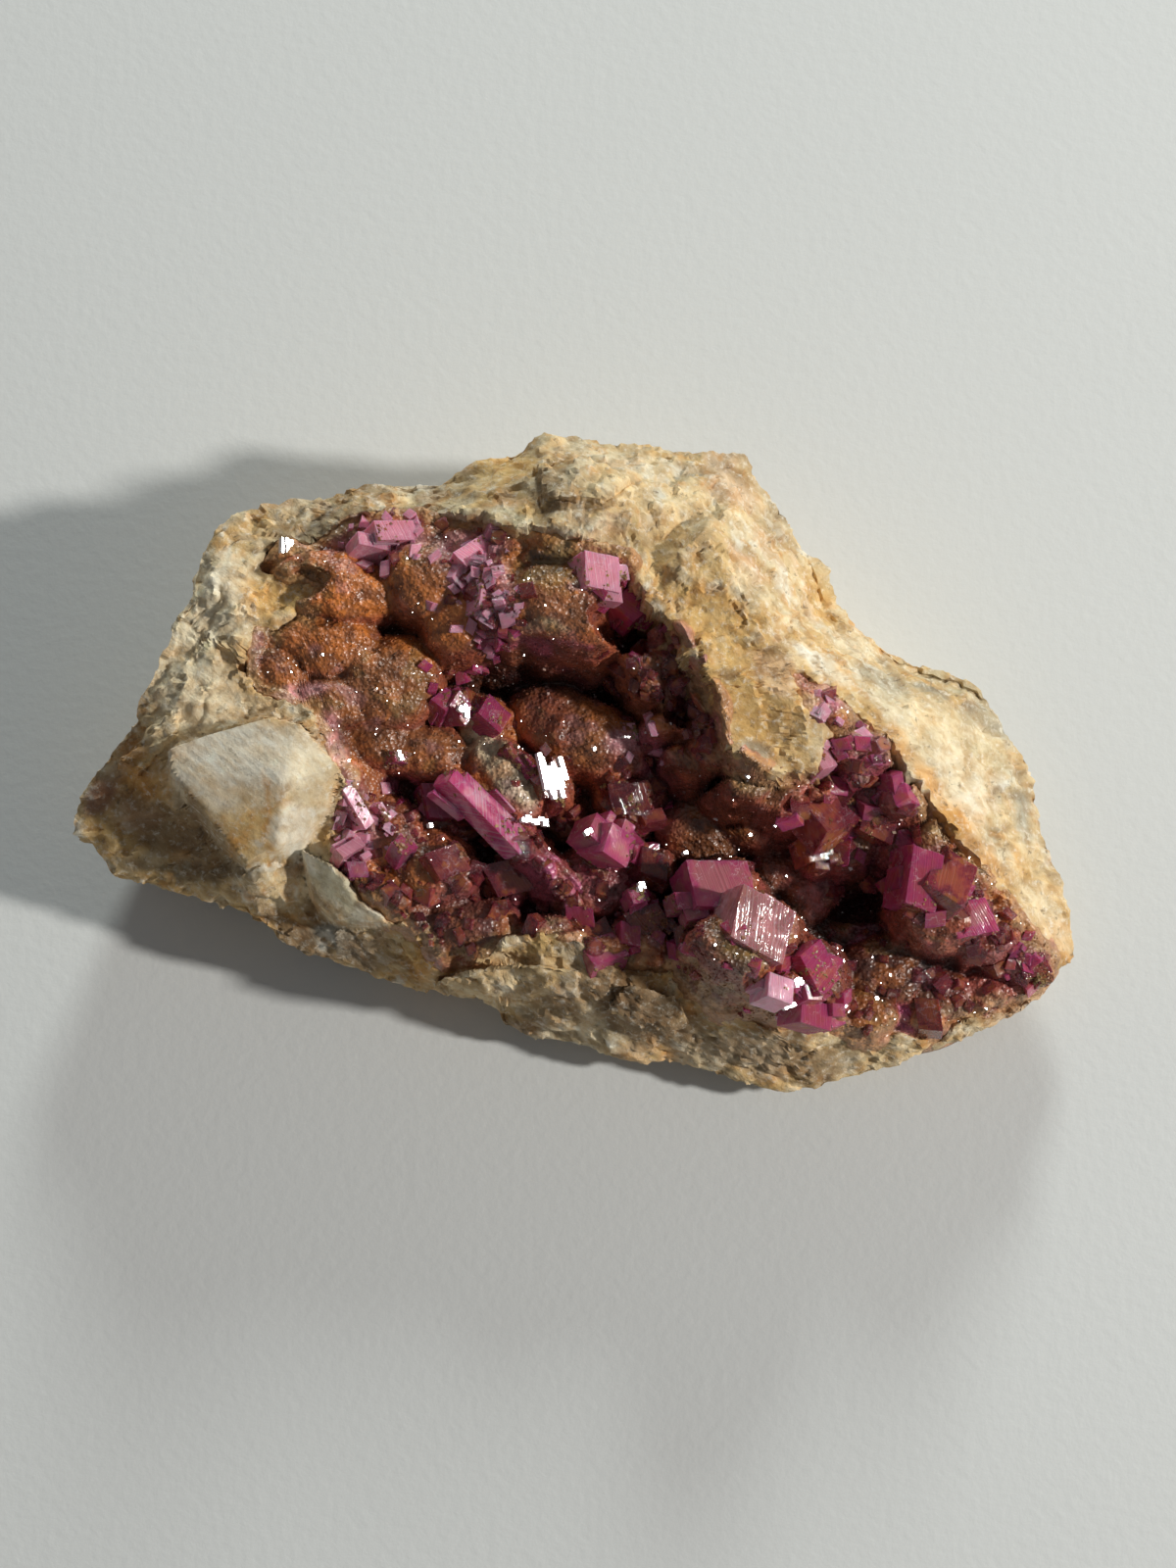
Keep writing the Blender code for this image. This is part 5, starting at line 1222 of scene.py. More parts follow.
def rhomb_material():
    """Large crystals: clear magenta edges over a duller or rusty heart, with growth lines.

    Two shaders are mixed: a clear one, and a milky one that lets light in and scatters it.
    """
    shop = Shop("magenta_dolomite")
    tint, heart, inward = shop.kept("tint"), shop.kept("heart"), shop.kept("inward", "Fac")
    cloud = shop.noise(420.0, 4.0, 0.6)
    veil = (inward * 0.8 + (cloud - 0.5) * 3.4).eased(-0.1, 0.75)
    colour = shop.mix(veil, tint, heart)
    rusty = shop.noise(520.0, 3.0, 0.6).eased(0.52, 0.64) * shop.kept("rusty", "Fac")
    colour = shop.mix(rusty, colour, (0.40, 0.13, 0.035))
    gap = shop.noise(650.0, 5.0, 0.6) - 0.5
    thread = (1.0 - (gap * gap).eased(0.0, 0.0004)) * shop.noise(500.0, 2.0).eased(0.45, 0.6)
    colour = shop.mix(thread * 0.45, colour, (0.97, 0.70, 0.80))
    lines = shop.kept("lines", "Fac")
    along = {"W": lines * 5.0, "Scale": 1.0, "Detail": 3.0}
    stripe = shop.number("ShaderNodeTexNoise", {"noise_dimensions": "1D"}, along)
    stripes = stripe.eased(0.50, 0.68) * shop.kept("striped", "Fac") * 0.6
    pale = shop.mix(stripes, colour, (0.97, 0.80, 0.86))
    relief = shop.bump(stripe + shop.noise(2200.0, 3.0) * 0.25, 0.00006)
    gloss = 0.06 + cloud.eased(0.5, 0.8) * 0.20
    clear = shop.add("ShaderNodeBsdfPrincipled", None, {
        "Base Color": shop.mix(0.35, pale, (1.0, 0.75, 0.85)), "Roughness": gloss,
        "IOR": DOLOMITE_IOR, "Transmission Weight": 1.0, "Normal": relief,
    })
    material = shop.set(
        Base_Color=pale, Roughness=gloss, IOR=DOLOMITE_IOR, Subsurface_Weight=0.6,
        Subsurface_Radius=(1.0, 0.3, 0.5), Subsurface_Scale=0.0008, Normal=relief,
    )
    share = (shop.kept("milky", "Fac") + veil * 0.25 + rusty * 0.3).eased(0.0, 1.0)
    mixed = {0: share, 1: clear.outputs[0], 2: shop.shader.outputs[0]}
    both = shop.add("ShaderNodeMixShader", None, mixed)
    shop.feed(shop.tree.nodes["Material Output"].inputs["Surface"], both.outputs[0])
    return material


def bright_material():
    """The faces of crystals that catch the lamp: clean, glossy and near-white; the white is a painted
    highlight as well as a reflected one.
    """
    shop = Shop("bright_faces")
    return shop.set(
        Base_Color=(0.95, 0.90, 0.90), Roughness=0.12, IOR=DOLOMITE_IOR, Coat_Weight=0.5,
        Coat_Roughness=0.1,
    )


def floor_material(colour):
    """Pale card, very slightly uneven."""
    shop = Shop("pale_card")
    uneven = shop.noise(9.0, 5.0, 0.6)
    tone = shop.mix(uneven.eased(0.3, 0.7) * 0.10, tuple(colour), tuple(c * 0.86 for c in colour))
    return shop.set(Base_Color=tone, Roughness=0.85, Normal=shop.bump(shop.noise(900.0, 3.0), 0.00005))


MATERIALS = {
    "broken_ochre_rock": rock_material,
    "rusty_crystal_druse": crust_material,
    "small_druse_crystals": grain_material,
    "magenta_dolomite": rhomb_material,
    "bright_faces": bright_material,
}
ROCK_COLOURS = "tan ochre orange cream peach white calcite celadon grey blue_grey rose umber olive plum dark"
CRUST_COLOURS = "rust amber brown olive wine plum magenta pink cream dark lip"
CRYSTAL_COLOURS = "magenta dusky ember wine clear bar"


def palette_of(settings, names):
    """The colours of those names, as plain numbers."""
    return {name: tuple(getattr(settings, name)) for name in names.split()}


def rock_colours(settings, forms, points, lift):
    """Mottled and painted colours of the rock, rusty along the crust, with brown specks. Painted shade
    darkens its small hollows and painted light its bumps; some patches are painted light or shade too."""
    palette = palette_of(settings, ROCK_COLOURS)
    colour = mottled(points, np.tile(palette["tan"], (len(points), 1)), ROCK_MOTTLES, palette)
    places = landings(ROCK_PATCHES, forms.rim_sheet)
    colour = painted(points, colour, ROCK_PATCHES, places, palette, settings.wander, 71)
    near = (forms.inside(points[:, :2]) + 1.6) / 2.4
    stained = ease(near + rough(points, 1.6, 3, 75) * 1.2 - 0.45)
    colour = toward(colour, 0.75 * stained, tuple(settings.stain))
    colour = colour * (1 + 0.10 * rough(points, 7.0, 4, 81)[:, None])
    fine = rough(points, 1.3, 3, 91)
    # Random tone, with painted shade in the small hollows of the fine relief and painted light on its bumps.
    colour = colour * (1 + 0.22 * fine + 0.25 * np.clip(lift, -1, 1))[:, None]
    specks = ease((rough(points, 0.9, 3, 95) - 0.28) / 0.2) * ease(rough(points, 6.0, 3, 98) * 1.6 + 0.3)
    return toward(colour, 0.65 * specks, palette["umber"])


class MakeRock(bpy.types.Operator):
    """Make the broken rock round and under the crust"""

    bl_idname = "specimen.make_rock"
    bl_label = "Make Rock"

    def execute(self, context):
        forms = shared_forms()
        rings, lift, on_block = rock_skin(forms)
        colour = rock_colours(context.scene.specimen_rock, forms, rings.reshape(-1, 3), lift)
        mesh = ring_mesh("rock", rings)
        set_points(mesh, "smooth", with_ends(on_block))
        set_points(mesh, "tint", with_ends(colour))
        mesh.shade_smooth()
        mesh.set_sharp_from_angle(angle=math.radians(ROCK_SHARP_DEG))
        add_piece("broken_rock", mesh, "broken_ochre_rock", "matrix_rock")
        return {"FINISHED"}


def settled(values, pick, reach=7):
    """The values with their jumps widened to the outer side, then averaged smooth."""
    held = np.pad(values, 2 * reach, mode="edge")
    held = pick.reduce([np.roll(held, k) for k in range(-reach, reach + 1)])
    held = np.mean([np.roll(held, k) for k in range(-reach, reach + 1)], axis=0)
    return held[2 * reach : -2 * reach]


def span_over(x, outline):
    """The nearest and the farthest y of a closed outline at each x."""
    closed = np.concatenate([outline, outline[:1]])
    walk = np.linspace(0, len(outline), len(outline) * 200)
    trace_x, trace_y = (np.interp(walk, np.arange(len(outline) + 1), closed[:, k]) for k in (0, 1))
    close = np.abs(trace_x[None, :] - x[:, None]) < (x[1] - x[0]) * 1.2
    low = np.where(close, trace_y[None, :], np.inf).min(1)
    return low, np.where(close, trace_y[None, :], -np.inf).max(1)


def crust_loops(forms, columns, steps, under=7):
    """The crust as closed loops along its length: each goes over its upper face from the near edge to
    the far one, and comes back underneath. It ends a little inside the rock's outline."""
    x = np.linspace(forms.edge[:, 0].min() + 0.15, forms.edge[:, 0].max() - 0.15, columns)
    low, high = span_over(x, forms.edge)
    rock_low, rock_high = span_over(x, forms.outline[:, :2])
    low = np.maximum(settled(low - CRUST_LAP, np.minimum), rock_low + OUTLINE_GAP)
    high = np.minimum(settled(high + CRUST_LAP, np.maximum), rock_high - OUTLINE_GAP)
    y = low[:, None] + (high - low)[:, None] * np.linspace(0, 1, steps)[None, :]
    plan = np.stack([np.repeat(x[:, None], steps, axis=1), y], -1).reshape(-1, 2)
    height, inside, crown = forms.crust_height(plan)
    upper = np.column_stack([plan, height]).reshape(columns, steps, 3)
    back = np.linspace(1, 0, under + 2)[1:-1]
    pick = np.round(back * (steps - 1)).astype(int)
    lower = upper[:, pick].copy()
    bed = forms.bed_sheet(lower[..., :2].reshape(-1, 2)).reshape(columns, under)
    lower[..., 2] = np.maximum(np.minimum(bed, lower[..., 2]) - CRUST_THICKNESS + 0.3, THINNEST_ROCK)
    return upper, lower, inside, crown


def crust_detail(points, inside):
    """Druse relief along the normals, in millimetres: knobs, smaller knobs, and crystal faces."""
    bent = points + 0.4 * np.column_stack([noise(points, 1.7, 101 + k) for k in range(3)])
    lift = 0.28 * (grains(bent, 2.3, 111) - 0.35) + 0.09 * (grains(points, 1.05, 121) - 0.35)
    lift = lift + 0.04 * facets(points, 0.36, 131) + 0.42 * rough(points, 2.6, 4, 141)
    lift += 0.34 * rough(points, 1.2, 4, 145) * ease((1.8 - inside) / 1.2)
    return lift * ease((inside + 1.2) / 1.4)


def crust_colours(settings, forms, points, normals, crown, lift):
    """Painted and mottled colours of the crust: pink along the edges of its growths, dark red where it
    is steep (partly pink rock under thin crust, partly painted shade), painted shade in its seams and
    deep places, and ochre where it laps onto the rock."""
    palette = palette_of(settings, CRUST_COLOURS)
    places = landings(CRUST_PATCHES, forms.crust_level)
    base = np.tile(palette["rust"], (len(points), 1))
    colour = painted(points, base, CRUST_PATCHES, places, palette, settings.wander, 151)
    colour = mottled(points, colour, CRUST_MOTTLES, palette, 0.9)
    fringe = ease(1 - crown / 0.08) * ease(rough(points, 4.0, 3, 161) * 2.4 - 0.35) * 0.6
    colour = toward(colour, fringe, palette["magenta"])
    # Steep sides turn dark red: partly the pink rock showing through thin crust, partly painted shade.
    steep = ease((0.80 - normals[:, 2]) / 0.45) * 0.55
    colour = toward(colour, steep, np.array(palette["wine"]) * 1.1)
    # Painted shade: darker where the crust lies below its usual level round it, and in the seams between its
    # knobs.
    colour = colour * (1 - 0.80 * ease((forms.sunken(points) - 0.2) / 3.2))[:, None]
    colour = colour * (1 - 0.35 * ease((-lift - 0.02) / 0.22))[:, None]
    border = ease(1.15 - forms.inside(points[:, :2]) / 1.3 + rough(points, 1.5, 3, 181) * 1.6)
    colour = toward(colour, 0.7 * border, 0.3 * colour + 0.62 * np.array(palette["lip"]))
    return colour * (1 + 0.22 * rough(points, 1.6, 3, 171))[:, None]


class MakeCrust(bpy.types.Operator):
    """Make the knobbly crust of crystals that lines the hollow"""

    bl_idname = "specimen.make_crust"
    bl_label = "Make Crust"

    def execute(self, context):
        settings, forms = context.scene.specimen_crust, shared_forms()
        upper, lower, inside, crown = crust_loops(forms, settings.columns, settings.steps)
        normals = unit(np.cross(np.gradient(upper, axis=0), np.gradient(upper, axis=1))).reshape(-1, 3)
        points = upper.reshape(-1, 3)
        lift = crust_detail(points, inside)
        points = points + normals * lift[:, None]
        colour = crust_colours(settings, forms, points, normals, crown, lift)
        mesh = ring_mesh("crust", np.concatenate([points.reshape(upper.shape), lower], axis=1))
        under = np.tile(colour.mean(0), (*lower.shape[:2], 1))
        colour = np.concatenate([colour.reshape(upper.shape), under], axis=1).reshape(-1, 3)
        set_points(mesh, "tint", with_ends(colour))
        mesh.shade_smooth()
        add_piece("druse_crust", mesh, "rusty_crystal_druse", "dolomite_crust")
        return {"FINISHED"}


def crust_normals(forms, plan, height, step, share=1.0):
    """Upward normals of the crust's upper face, from a share of its rise over a step each way."""
    moves = ([step, 0], [0, step])
    rises = [(forms.crust_height(plan + move)[0] - height) / step for move in moves]
    return unit(np.column_stack([-rises[0] * share, -rises[1] * share, np.ones(len(plan))]))


def lamp_place(context):
    """Where the key light is, in millimetres."""
    return np.array(context.scene.specimen_stage.key_place) / MM


def glint_normal(points, lamp):
    """The direction halfway between the lamp and the eye, seen from each point."""
    return unit(unit(lamp - points) + unit(eye_point() - points))


def rhomb_edges():
    """The three edges of a dolomite rhomb from one blunt corner: each pair has DOLOMITE_FACE_DEG
    between them, the first two lie level and the third goes down."""
    blunt = math.radians(DOLOMITE_FACE_DEG)
    first = np.array([1.0, 0, 0])
    second = np.array([math.cos(blunt), math.sin(blunt), 0])
    drift = math.cos(blunt) / (1 + math.cos(blunt))
    level = (first + second) * drift
    third = level - np.array([0, 0, math.sqrt(1 - level @ level)])
    return np.array([first, second, third])


def turned(bearings, leans, ways):
    """Turning matrices: first about the upright by the bearing, then leant over towards the way."""
    def about(axis, angle):
        x, y, z = axis.T
        c, s = np.cos(angle), np.sin(angle)
        t = 1 - c
        return np.stack([
            np.stack([c + x * x * t, x * y * t - z * s, x * z * t + y * s], -1),
            np.stack([y * x * t + z * s, c + y * y * t, y * z * t - x * s], -1),
            np.stack([z * x * t - y * s, z * y * t + x * s, c + z * z * t], -1),
        ], -2)
    upright = np.tile([0.0, 0.0, 1.0], (len(bearings), 1))
    level = np.column_stack([-np.sin(ways), np.cos(ways), np.zeros(len(ways))])
    return about(level, leans) @ about(upright, bearings)


def lean_to(normals):
    """The lean and the way that bring an upright face to each normal."""
    return np.arccos(np.clip(normals[:, 2], -1, 1)), np.arctan2(normals[:, 1], normals[:, 0])


def turned_to(normals, draw):
    """Turning matrices that bring an upright face to each normal, at a drawn bearing."""
    leans, ways = lean_to(normals)
    return turned(draw.uniform(0, 2 * math.pi, len(normals)), leans, ways)


def box_lattice(steps):
    """The skin of a cube of steps by steps by steps cells: its points from 0 to 1 and its faces,
    wound to face outwards for a right-handed set of edges."""
    count = steps + 1
    number = -np.ones((count, count, count), int)
    i, j, k = np.meshgrid(*(np.arange(count),) * 3, indexing="ij")
    outer = (i % steps == 0) | (j % steps == 0) | (k % steps == 0)
    number[outer] = np.arange(outer.sum())
    points = np.column_stack([i[outer], j[outer], k[outer]]) / steps
    faces = []
    for axis in range(3):
        for end in (0, steps):
            grid = np.take(number, end, axis=axis)
            quad = np.stack([grid[:-1, :-1], grid[1:, :-1], grid[1:, 1:], grid[:-1, 1:]], -1).reshape(-1, 4)
            faces.append(quad if (end > 0) == (axis != 1) else quad[:, ::-1])
    return points, np.concatenate(faces)


def grow_rhombs(tops, sizes, turns, steps=1):
    """Rhombs with steps by steps cells on each face. tops are the middles of their upper faces, sizes
    their three edges. Returns a row of points for each rhomb, all the faces, and the cube's points."""
    local, faces = box_lattice(steps)
    edges = np.einsum("nij,kj->nki", turns, rhomb_edges()) * sizes[:, :, None]
    corner = tops - (edges[:, 0] + edges[:, 1]) / 2
    points = corner[:, None, :] + np.einsum("pk,nki->npi", local, edges)
    index = (faces[None] + (np.arange(len(tops)) * len(local))[:, None, None])[..., ::-1]
    return points, index.reshape(-1, 4), local


def add_flat_rhombs(name, tops, sizes, turns, material, colour=None):
    """Plain rhombs with flat faces in one piece. colour has a row for each of them."""
    points, quads, local = grow_rhombs(tops, sizes, turns)
    mesh = quads_and_tris(name, points.reshape(-1, 3), quads)
    if colour is not None:
        set_points(mesh, "tint", np.repeat(colour, len(local), axis=0))
    mesh.shade_flat()
    add_piece(name, mesh, material, "dolomite_crust")


def weathered(points):
    """Rhombs with terraces and dents: each point moves along its line from the rhomb's middle by a
    smooth noise plus a stepped one, at most about a twentieth of the way."""
    middle = points.mean(1, keepdims=True)
    flat = points.reshape(-1, 3)
    terrace = np.round(noise(flat, 1.5, 201) * 2.2) / 2.2
    share = 1 + 0.030 * terrace + 0.020 * rough(flat, 0.8, 2, 211)
    return middle + (points - middle) * share.reshape(points.shape[0], -1, 1)


def face_marks(local):
    """For each point of a rhomb's skin, 0 on an edge of the rhomb to 1 in the middle of a face."""
    depth = np.sort(np.minimum(local, 1 - local), axis=1)
    return np.clip(depth[:, 1] * 2, 0, 1)


class MakeGrains(bpy.types.Operator):
    """Scatter the small crystals that make the crust sparkle"""

    bl_idname = "specimen.make_grains"
    bl_label = "Make Small Crystals"

    def execute(self, context):
        settings, forms = context.scene.specimen_crust, shared_forms()
        draw = np.random.default_rng(GRAIN_SEED)
        plan = draw.uniform(forms.edge.min(0), forms.edge.max(0), (settings.grain_count * 4, 2))
        plan = plan[edge_distance(plan, forms.edge) > CRYSTAL_MARGIN]
        height, inside, crown = forms.crust_height(plan)
        normals = crust_normals(forms, plan, height, 0.25)
        likely = np.clip(0.3 / np.maximum(normals[:, 2], 0.05), 0, 1)
        keep = np.flatnonzero(draw.random(len(plan)) < likely)[: settings.grain_count]
        points, normals = np.column_stack([plan, height])[keep], normals[keep]
        lift = crust_detail(points, inside[keep])
        points = points + normals * (lift + 0.06)[:, None]
        count = len(points)
        colour = crust_colours(settings, forms, points, normals, crown[keep], lift)
        colour = colour * draw.uniform(0.85, 1.2, (count, 1)) + draw.uniform(0, 0.02, (count, 1))
        pale = draw.random(count) < PALE_SHARE
        colour[pale] = colour[pale] * 0.5 + np.array([0.42, 0.30, 0.24])
        size = 0.07 + 0.18 * draw.random(count) ** 4
        normals = unit(normals + draw.normal(0, 0.32, (count, 3)))
        shines = draw.random(count) < SPARKLE_SHARE
        normals[shines] = glint_normal(points[shines], lamp_place(context))
        size[shines] = 0.045 + 0.25 * draw.random(shines.sum()) ** 6
        turns = turned_to(normals, draw)
        sizes = size[:, None] * draw.uniform(0.8, 1.3, (count, 3))
        tops = points + normals * (0.1 * size)[:, None]
        # The grains that mirror the lamp take the near-white bright faces: a real reflection with a painted
        # highlight as well.
        for name, those, material in (
            ("small_druse_crystals", ~shines, "small_druse_crystals"),
            ("sparkles", shines, "bright_faces"),
        ):
            add_flat_rhombs(name, tops[those], sizes[those], turns[those], material, colour[those])
        return {"FINISHED"}


def add_large_piece(name, points, quads, local, kinds, palette, draw):
    """Large or middling rhombs in one piece, with what their material reads kept at their points."""
    count, each = points.shape[:2]
    rows = [CRYSTAL_KINDS[kind] for kind in kinds]
    vary = draw.uniform(0.65, 1.15, (count, 1))
    mesh = quads_and_tris(name, points.reshape(-1, 3), quads)
    for column, key in enumerate(("tint", "heart")):
        colour = np.array([palette[row[column]] for row in rows]) * vary
        set_points(mesh, key, np.repeat(colour, each, axis=0))
    for column, key in enumerate(("striped", "rusty", "milky"), 2):
        set_points(mesh, key, np.repeat([row[column] for row in rows], each))
    set_points(mesh, "inward", np.tile(face_marks(local), count))
    lines = local[None, :, 0] * 5.0 + local[None, :, 1] * 0.6 + local[None, :, 2] * 0.8
    set_points(mesh, "lines", (lines + np.arange(count)[:, None] * 9.3).ravel())
    mesh.shade_smooth()
    mesh.set_sharp_from_angle(angle=math.radians(RHOMB_SHARP_DEG))
    add_piece(name, mesh, "magenta_dolomite", "dolomite_crust")


class MakeCrystals(bpy.types.Operator):
    """Make the large rhombs and the clusters of middling ones"""

    bl_idname = "specimen.make_crystals"
    bl_label = "Make Crystals"

    def execute(self, context):
        settings, lamp = context.scene.specimen_crystals, lamp_place(context)
        palette = palette_of(settings, CRYSTAL_COLOURS)
        draw = np.random.default_rng(RHOMB_SEED)
        self.large(settings.steps, palette, lamp, draw)
        self.middling(palette, lamp, draw)
        self.bright_faces(lamp)
        return {"FINISHED"}

    def large(self, steps, palette, lamp, draw):
        """Each crystal of the list, with smaller ones grown into its corners a few degrees askew."""
        rows, kinds = [], []
        for column, row, height, first, second, third, bearing, lean, way, kind in CRYSTALS:
            top, size = spot(column, row, height), np.array([first, second, third])
            if lean == GLINT:
                lean, way = (np.degrees(v[0]) for v in lean_to(glint_normal(top[None, :], lamp)))
            if kind in ("ember", "wine", "magenta"):
                size = size * 0.88
                top = top - [0, 0, 0.5]
            rows.append((*top, *size, bearing, lean, way))
            for _ in range(TWINS):
                place = top + draw.uniform(-0.6, 0.6, 3) * [first, second, 0.5] - [0, 0, 0.2 * third]
                small = size * draw.uniform(0.25, 0.6, 3) + [0, 0, 0.5]
                askew = bearing + draw.normal(0, 9)
                rows.append((*place, *small, askew, lean + draw.normal(0, 7), way))
            kinds.extend([kind] * (1 + TWINS))
        table = np.array(rows, float)
        turns = turned(*np.radians(table[:, 6:]).T)
        points, quads, local = grow_rhombs(table[:, :3], table[:, 3:6], turns, steps)
        points = weathered(points)
        self.dusting(points.reshape(-1, 3), quads, draw)
        add_large_piece("large_rhombs", points, quads, local, kinds, palette, draw)

    @staticmethod
    def dusting(points, quads, draw, tries=60000, most=3500):
        """Small brown crystals grown in patches over the large ones, thickest near the crust."""
        corners = points[quads[draw.integers(len(quads), size=tries)]]
        first, second = draw.random((2, tries, 1))
        place = (corners[:, 0] * (1 - first) + corners[:, 1] * first) * (1 - second)
        place += (corners[:, 3] * (1 - first) + corners[:, 2] * first) * second
        normals = unit(np.cross(corners[:, 1] - corners[:, 0], corners[:, 3] - corners[:, 0]))
        above = place[:, 2] - shared_forms().crust_height(place[:, :2])[0]
        thick = rough(place, 2.6, 3, 221) + draw.normal(0, 0.06, tries)
        dusty = (normals[:, 2] > -0.3) & (above > -0.3) & (thick > 0.06 + 0.10 * np.clip(above, 0, 3))
        chosen = np.flatnonzero(dusty)[:most]
        place, count = place[chosen], len(chosen)
        normals = unit(normals[chosen] + draw.normal(0, 0.4, (count, 3)))
        turns = turned_to(normals, draw)
        sizes = (0.10 + 0.22 * draw.random(count) ** 3)[:, None] * draw.uniform(0.8, 1.3, (count, 3))
        olive = ease(noise(place, 3.0, 231) * 2 + 0.3)[:, None]
        colour = (1 - olive) * np.array([0.30, 0.11, 0.045]) + olive * np.array([0.40, 0.27, 0.10])
        colour = colour * draw.uniform(0.6, 1.4, (count, 1))
        tops = place + normals * 0.06
        add_flat_rhombs("crystal_dust", tops, sizes, turns, "small_druse_crystals", colour)

    @staticmethod
    def bright_faces(lamp):
        """Broken faces that mirror the lamp, near-white as a painted highlight too: splinters side by side,
        all in nearly one plane.
        """
        draw = np.random.default_rng(BRIGHT_SEED)
        tops, sizes, turns = [], [], []
        for column, row, height, wide, deep, count, bearing in BRIGHT_FACES:
            middle = spot(column, row, height)
            normal = glint_normal(middle[None, :], lamp)
            leans, ways = lean_to(normal)
            turn = turned(np.radians([float(bearing)]), leans, ways)[0]
            across = (np.arange(count) + 0.5) / count - 0.5
            shift = np.column_stack([across, draw.uniform(-0.22, 0.22, count)]) * [wide, deep]
            tops.append(middle + shift @ turn[:, :2].T + normal * draw.uniform(-0.12, 0.12, (count, 1)))
            lengths = draw.uniform(0.3, 0.8, count) * deep
            sizes.append(np.column_stack([np.full(count, 1.15 * wide / count), lengths, np.full(count, 0.4)]))
            askew = np.radians(bearing + draw.normal(0, 5, count))
            turns.append(turned(askew, np.full(count, leans[0]), np.full(count, ways[0])))
        tops, sizes, turns = (np.concatenate(v) for v in (tops, sizes, turns))
        add_flat_rhombs("bright_faces", tops, sizes, turns, "bright_faces")

    @staticmethod
    def middling(palette, lamp, draw):
        """Crystals scattered round the middle of each cluster, standing on the crust."""
        forms = shared_forms()
        plan, size, kinds = [], [], []
        for column, row, reach, count, smallest, largest, kind in CLUSTERS:
            middle = landings([(column, row)], forms.crust_level)[0]
            plan.append(middle + draw.normal(0, 0.55, (count, 2)) * reach / READINGS_PER_MM)
            size.append(0.75 * (smallest + (largest - smallest) * draw.random(count) ** 1.6))
            kinds.extend(draw.choice([kind, kind, kind, kind, "wine", "wine", "ember"], count))
        plan, size, kinds = np.concatenate(plan), np.concatenate(size), np.array(kinds)
        keep = edge_distance(plan, forms.edge) > CRYSTAL_MARGIN
        plan, size, kinds = plan[keep], size[keep], kinds[keep]
        height, count = forms.crust_height(plan)[0], len(plan)
        normals = crust_normals(forms, plan, height, 0.6, 0.6)
        normals = unit(normals + draw.normal(0, 0.3, (count, 3)))
        shines = draw.random(count) < GLINT_SHARE
        points = np.column_stack([plan, height])
        normals[shines] = glint_normal(points[shines], lamp)
        turns = turned_to(normals, draw)
        sizes = size[:, None] * draw.uniform(0.75, 1.35, (count, 3))
        sizes[:, 2] += 0.5
        tops = points + normals * (0.32 * size)[:, None]
        points, quads, local = grow_rhombs(tops, sizes, turns, 4)
        add_large_piece("middling_rhombs", weathered(points), quads, local, kinds, palette, draw)


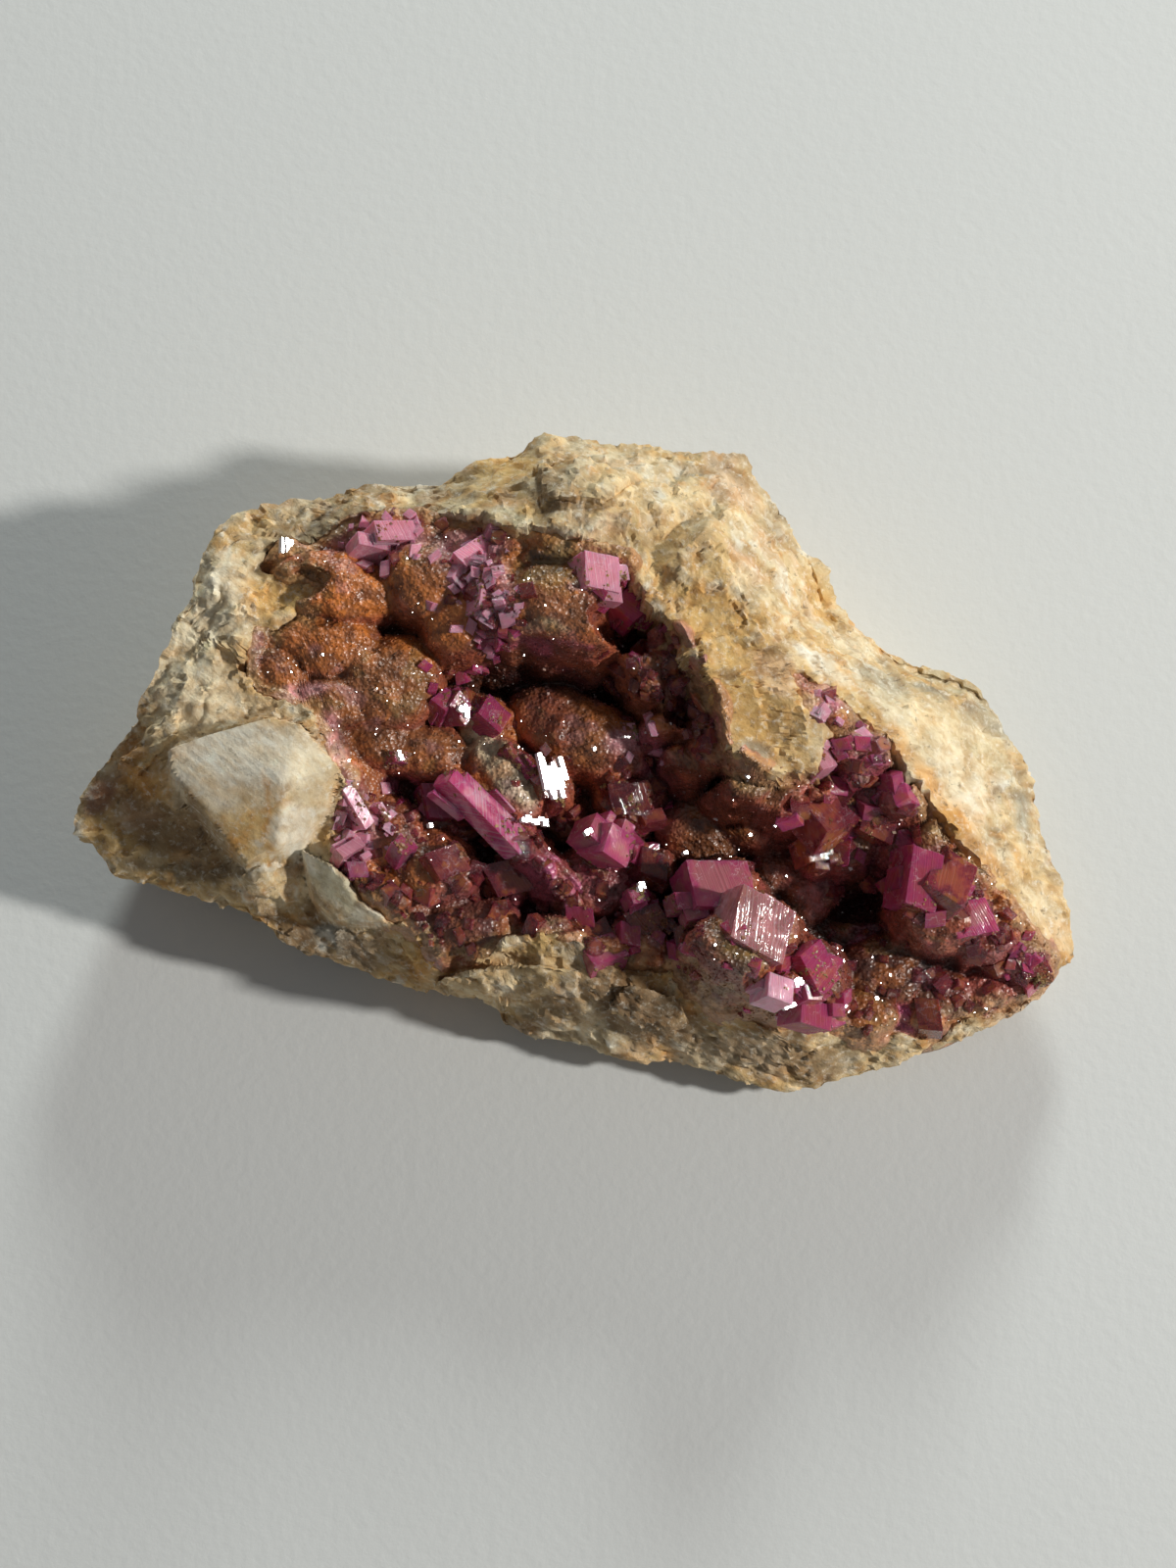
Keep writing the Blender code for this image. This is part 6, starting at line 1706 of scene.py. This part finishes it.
class MakeStage(bpy.types.Operator):
    """Make the floor, the lights and the camera"""

    bl_idname = "specimen.make_stage"
    bl_label = "Make Stage"

    def execute(self, context):
        scene, settings = context.scene, context.scene.specimen_stage
        corners = [(x * FLOOR_REACH, y * FLOOR_REACH, 0) for x, y in ((-1, -1), (1, -1), (1, 1), (-1, 1))]
        mesh = quads_and_tris("floor", corners, np.array([[0, 1, 2, 3]]))
        floor = bpy.data.objects.new("floor", mesh)
        scene.collection.objects.link(floor)
        mesh.materials.append(floor_material(settings.floor))
        key = settings.key_place, settings.key_size, settings.key_power
        self.lamp(scene, "key_light", *key, (1.0, 0.965, 0.90))
        self.lamp(scene, "window_light", WINDOW_PLACE, WINDOW_SIZE, settings.fill_power, (0.94, 1.0, 0.96))
        world = bpy.data.worlds.new("room")
        world.use_nodes = True
        sky = world.node_tree.nodes["Background"]
        sky.inputs[0].default_value = (0.95, 0.97, 1.0, 1.0)
        sky.inputs[1].default_value = settings.sky
        scene.world = world
        camera = bpy.data.cameras.new("camera")
        camera.sensor_fit, camera.sensor_width = "HORIZONTAL", 36.0
        camera.lens = camera.sensor_width * EYE_DISTANCE_MM * READINGS_PER_MM / (2 * PICTURE_CENTRE[0])
        camera.clip_start = 0.01
        view = bpy.data.objects.new("camera", camera)
        scene.collection.objects.link(view)
        aim, eye = Vector(AIM_MM * MM), Vector(eye_point() * MM)
        facing = (aim - eye).to_track_quat("-Z", "Y").to_matrix().to_4x4()
        view.matrix_world = Matrix.Translation(eye) @ facing
        scene.camera = view
        scene.view_settings.view_transform = "Standard"
        return {"FINISHED"}

    @staticmethod
    def lamp(scene, name, place, size, power, colour):
        """A round lamp that faces the specimen."""
        light = bpy.data.lights.new(name, "AREA")
        light.shape, light.size, light.energy, light.color = "DISK", size, power, colour
        lamp = bpy.data.objects.new(name, light)
        scene.collection.objects.link(lamp)
        lamp.location = place
        lamp.rotation_euler = (Vector((0, 0, 0.01)) - Vector(place)).to_track_quat("-Z", "Y").to_euler()


class SpecimenPanel(bpy.types.Panel):
    """Lists the specimen's pieces and their settings"""

    bl_idname = "VIEW3D_PT_specimen"
    bl_label = "Hand Specimen"
    bl_space_type = "VIEW_3D"
    bl_region_type = "UI"
    bl_category = "Specimen"

    def draw(self, context):
        for operator in (MakeRock, MakeCrust, MakeGrains, MakeCrystals, MakeStage):
            self.layout.operator(operator.bl_idname)
        for group in SETTINGS:
            box = self.layout.box()
            for name in getattr(context.scene, group).__annotations__:
                box.prop(getattr(context.scene, group), name)


SETTINGS = {
    "specimen_rock": RockSettings,
    "specimen_crust": CrustSettings,
    "specimen_crystals": CrystalSettings,
    "specimen_stage": StageSettings,
}
CLASSES = (*SETTINGS.values(), MakeRock, MakeCrust, MakeGrains, MakeCrystals, MakeStage, SpecimenPanel)


def register():
    for item in CLASSES:
        bpy.utils.register_class(item)
    for name, group in SETTINGS.items():
        setattr(bpy.types.Scene, name, bpy.props.PointerProperty(type=group))


def unregister():
    for name in SETTINGS:
        delattr(bpy.types.Scene, name)
    for item in reversed(CLASSES):
        bpy.utils.unregister_class(item)


def main():
    register()
    bpy.ops.specimen.make_rock()
    bpy.ops.specimen.make_crust()
    bpy.ops.specimen.make_grains()
    bpy.ops.specimen.make_crystals()
    bpy.ops.specimen.make_stage()


if __name__ == "__main__":
    main()
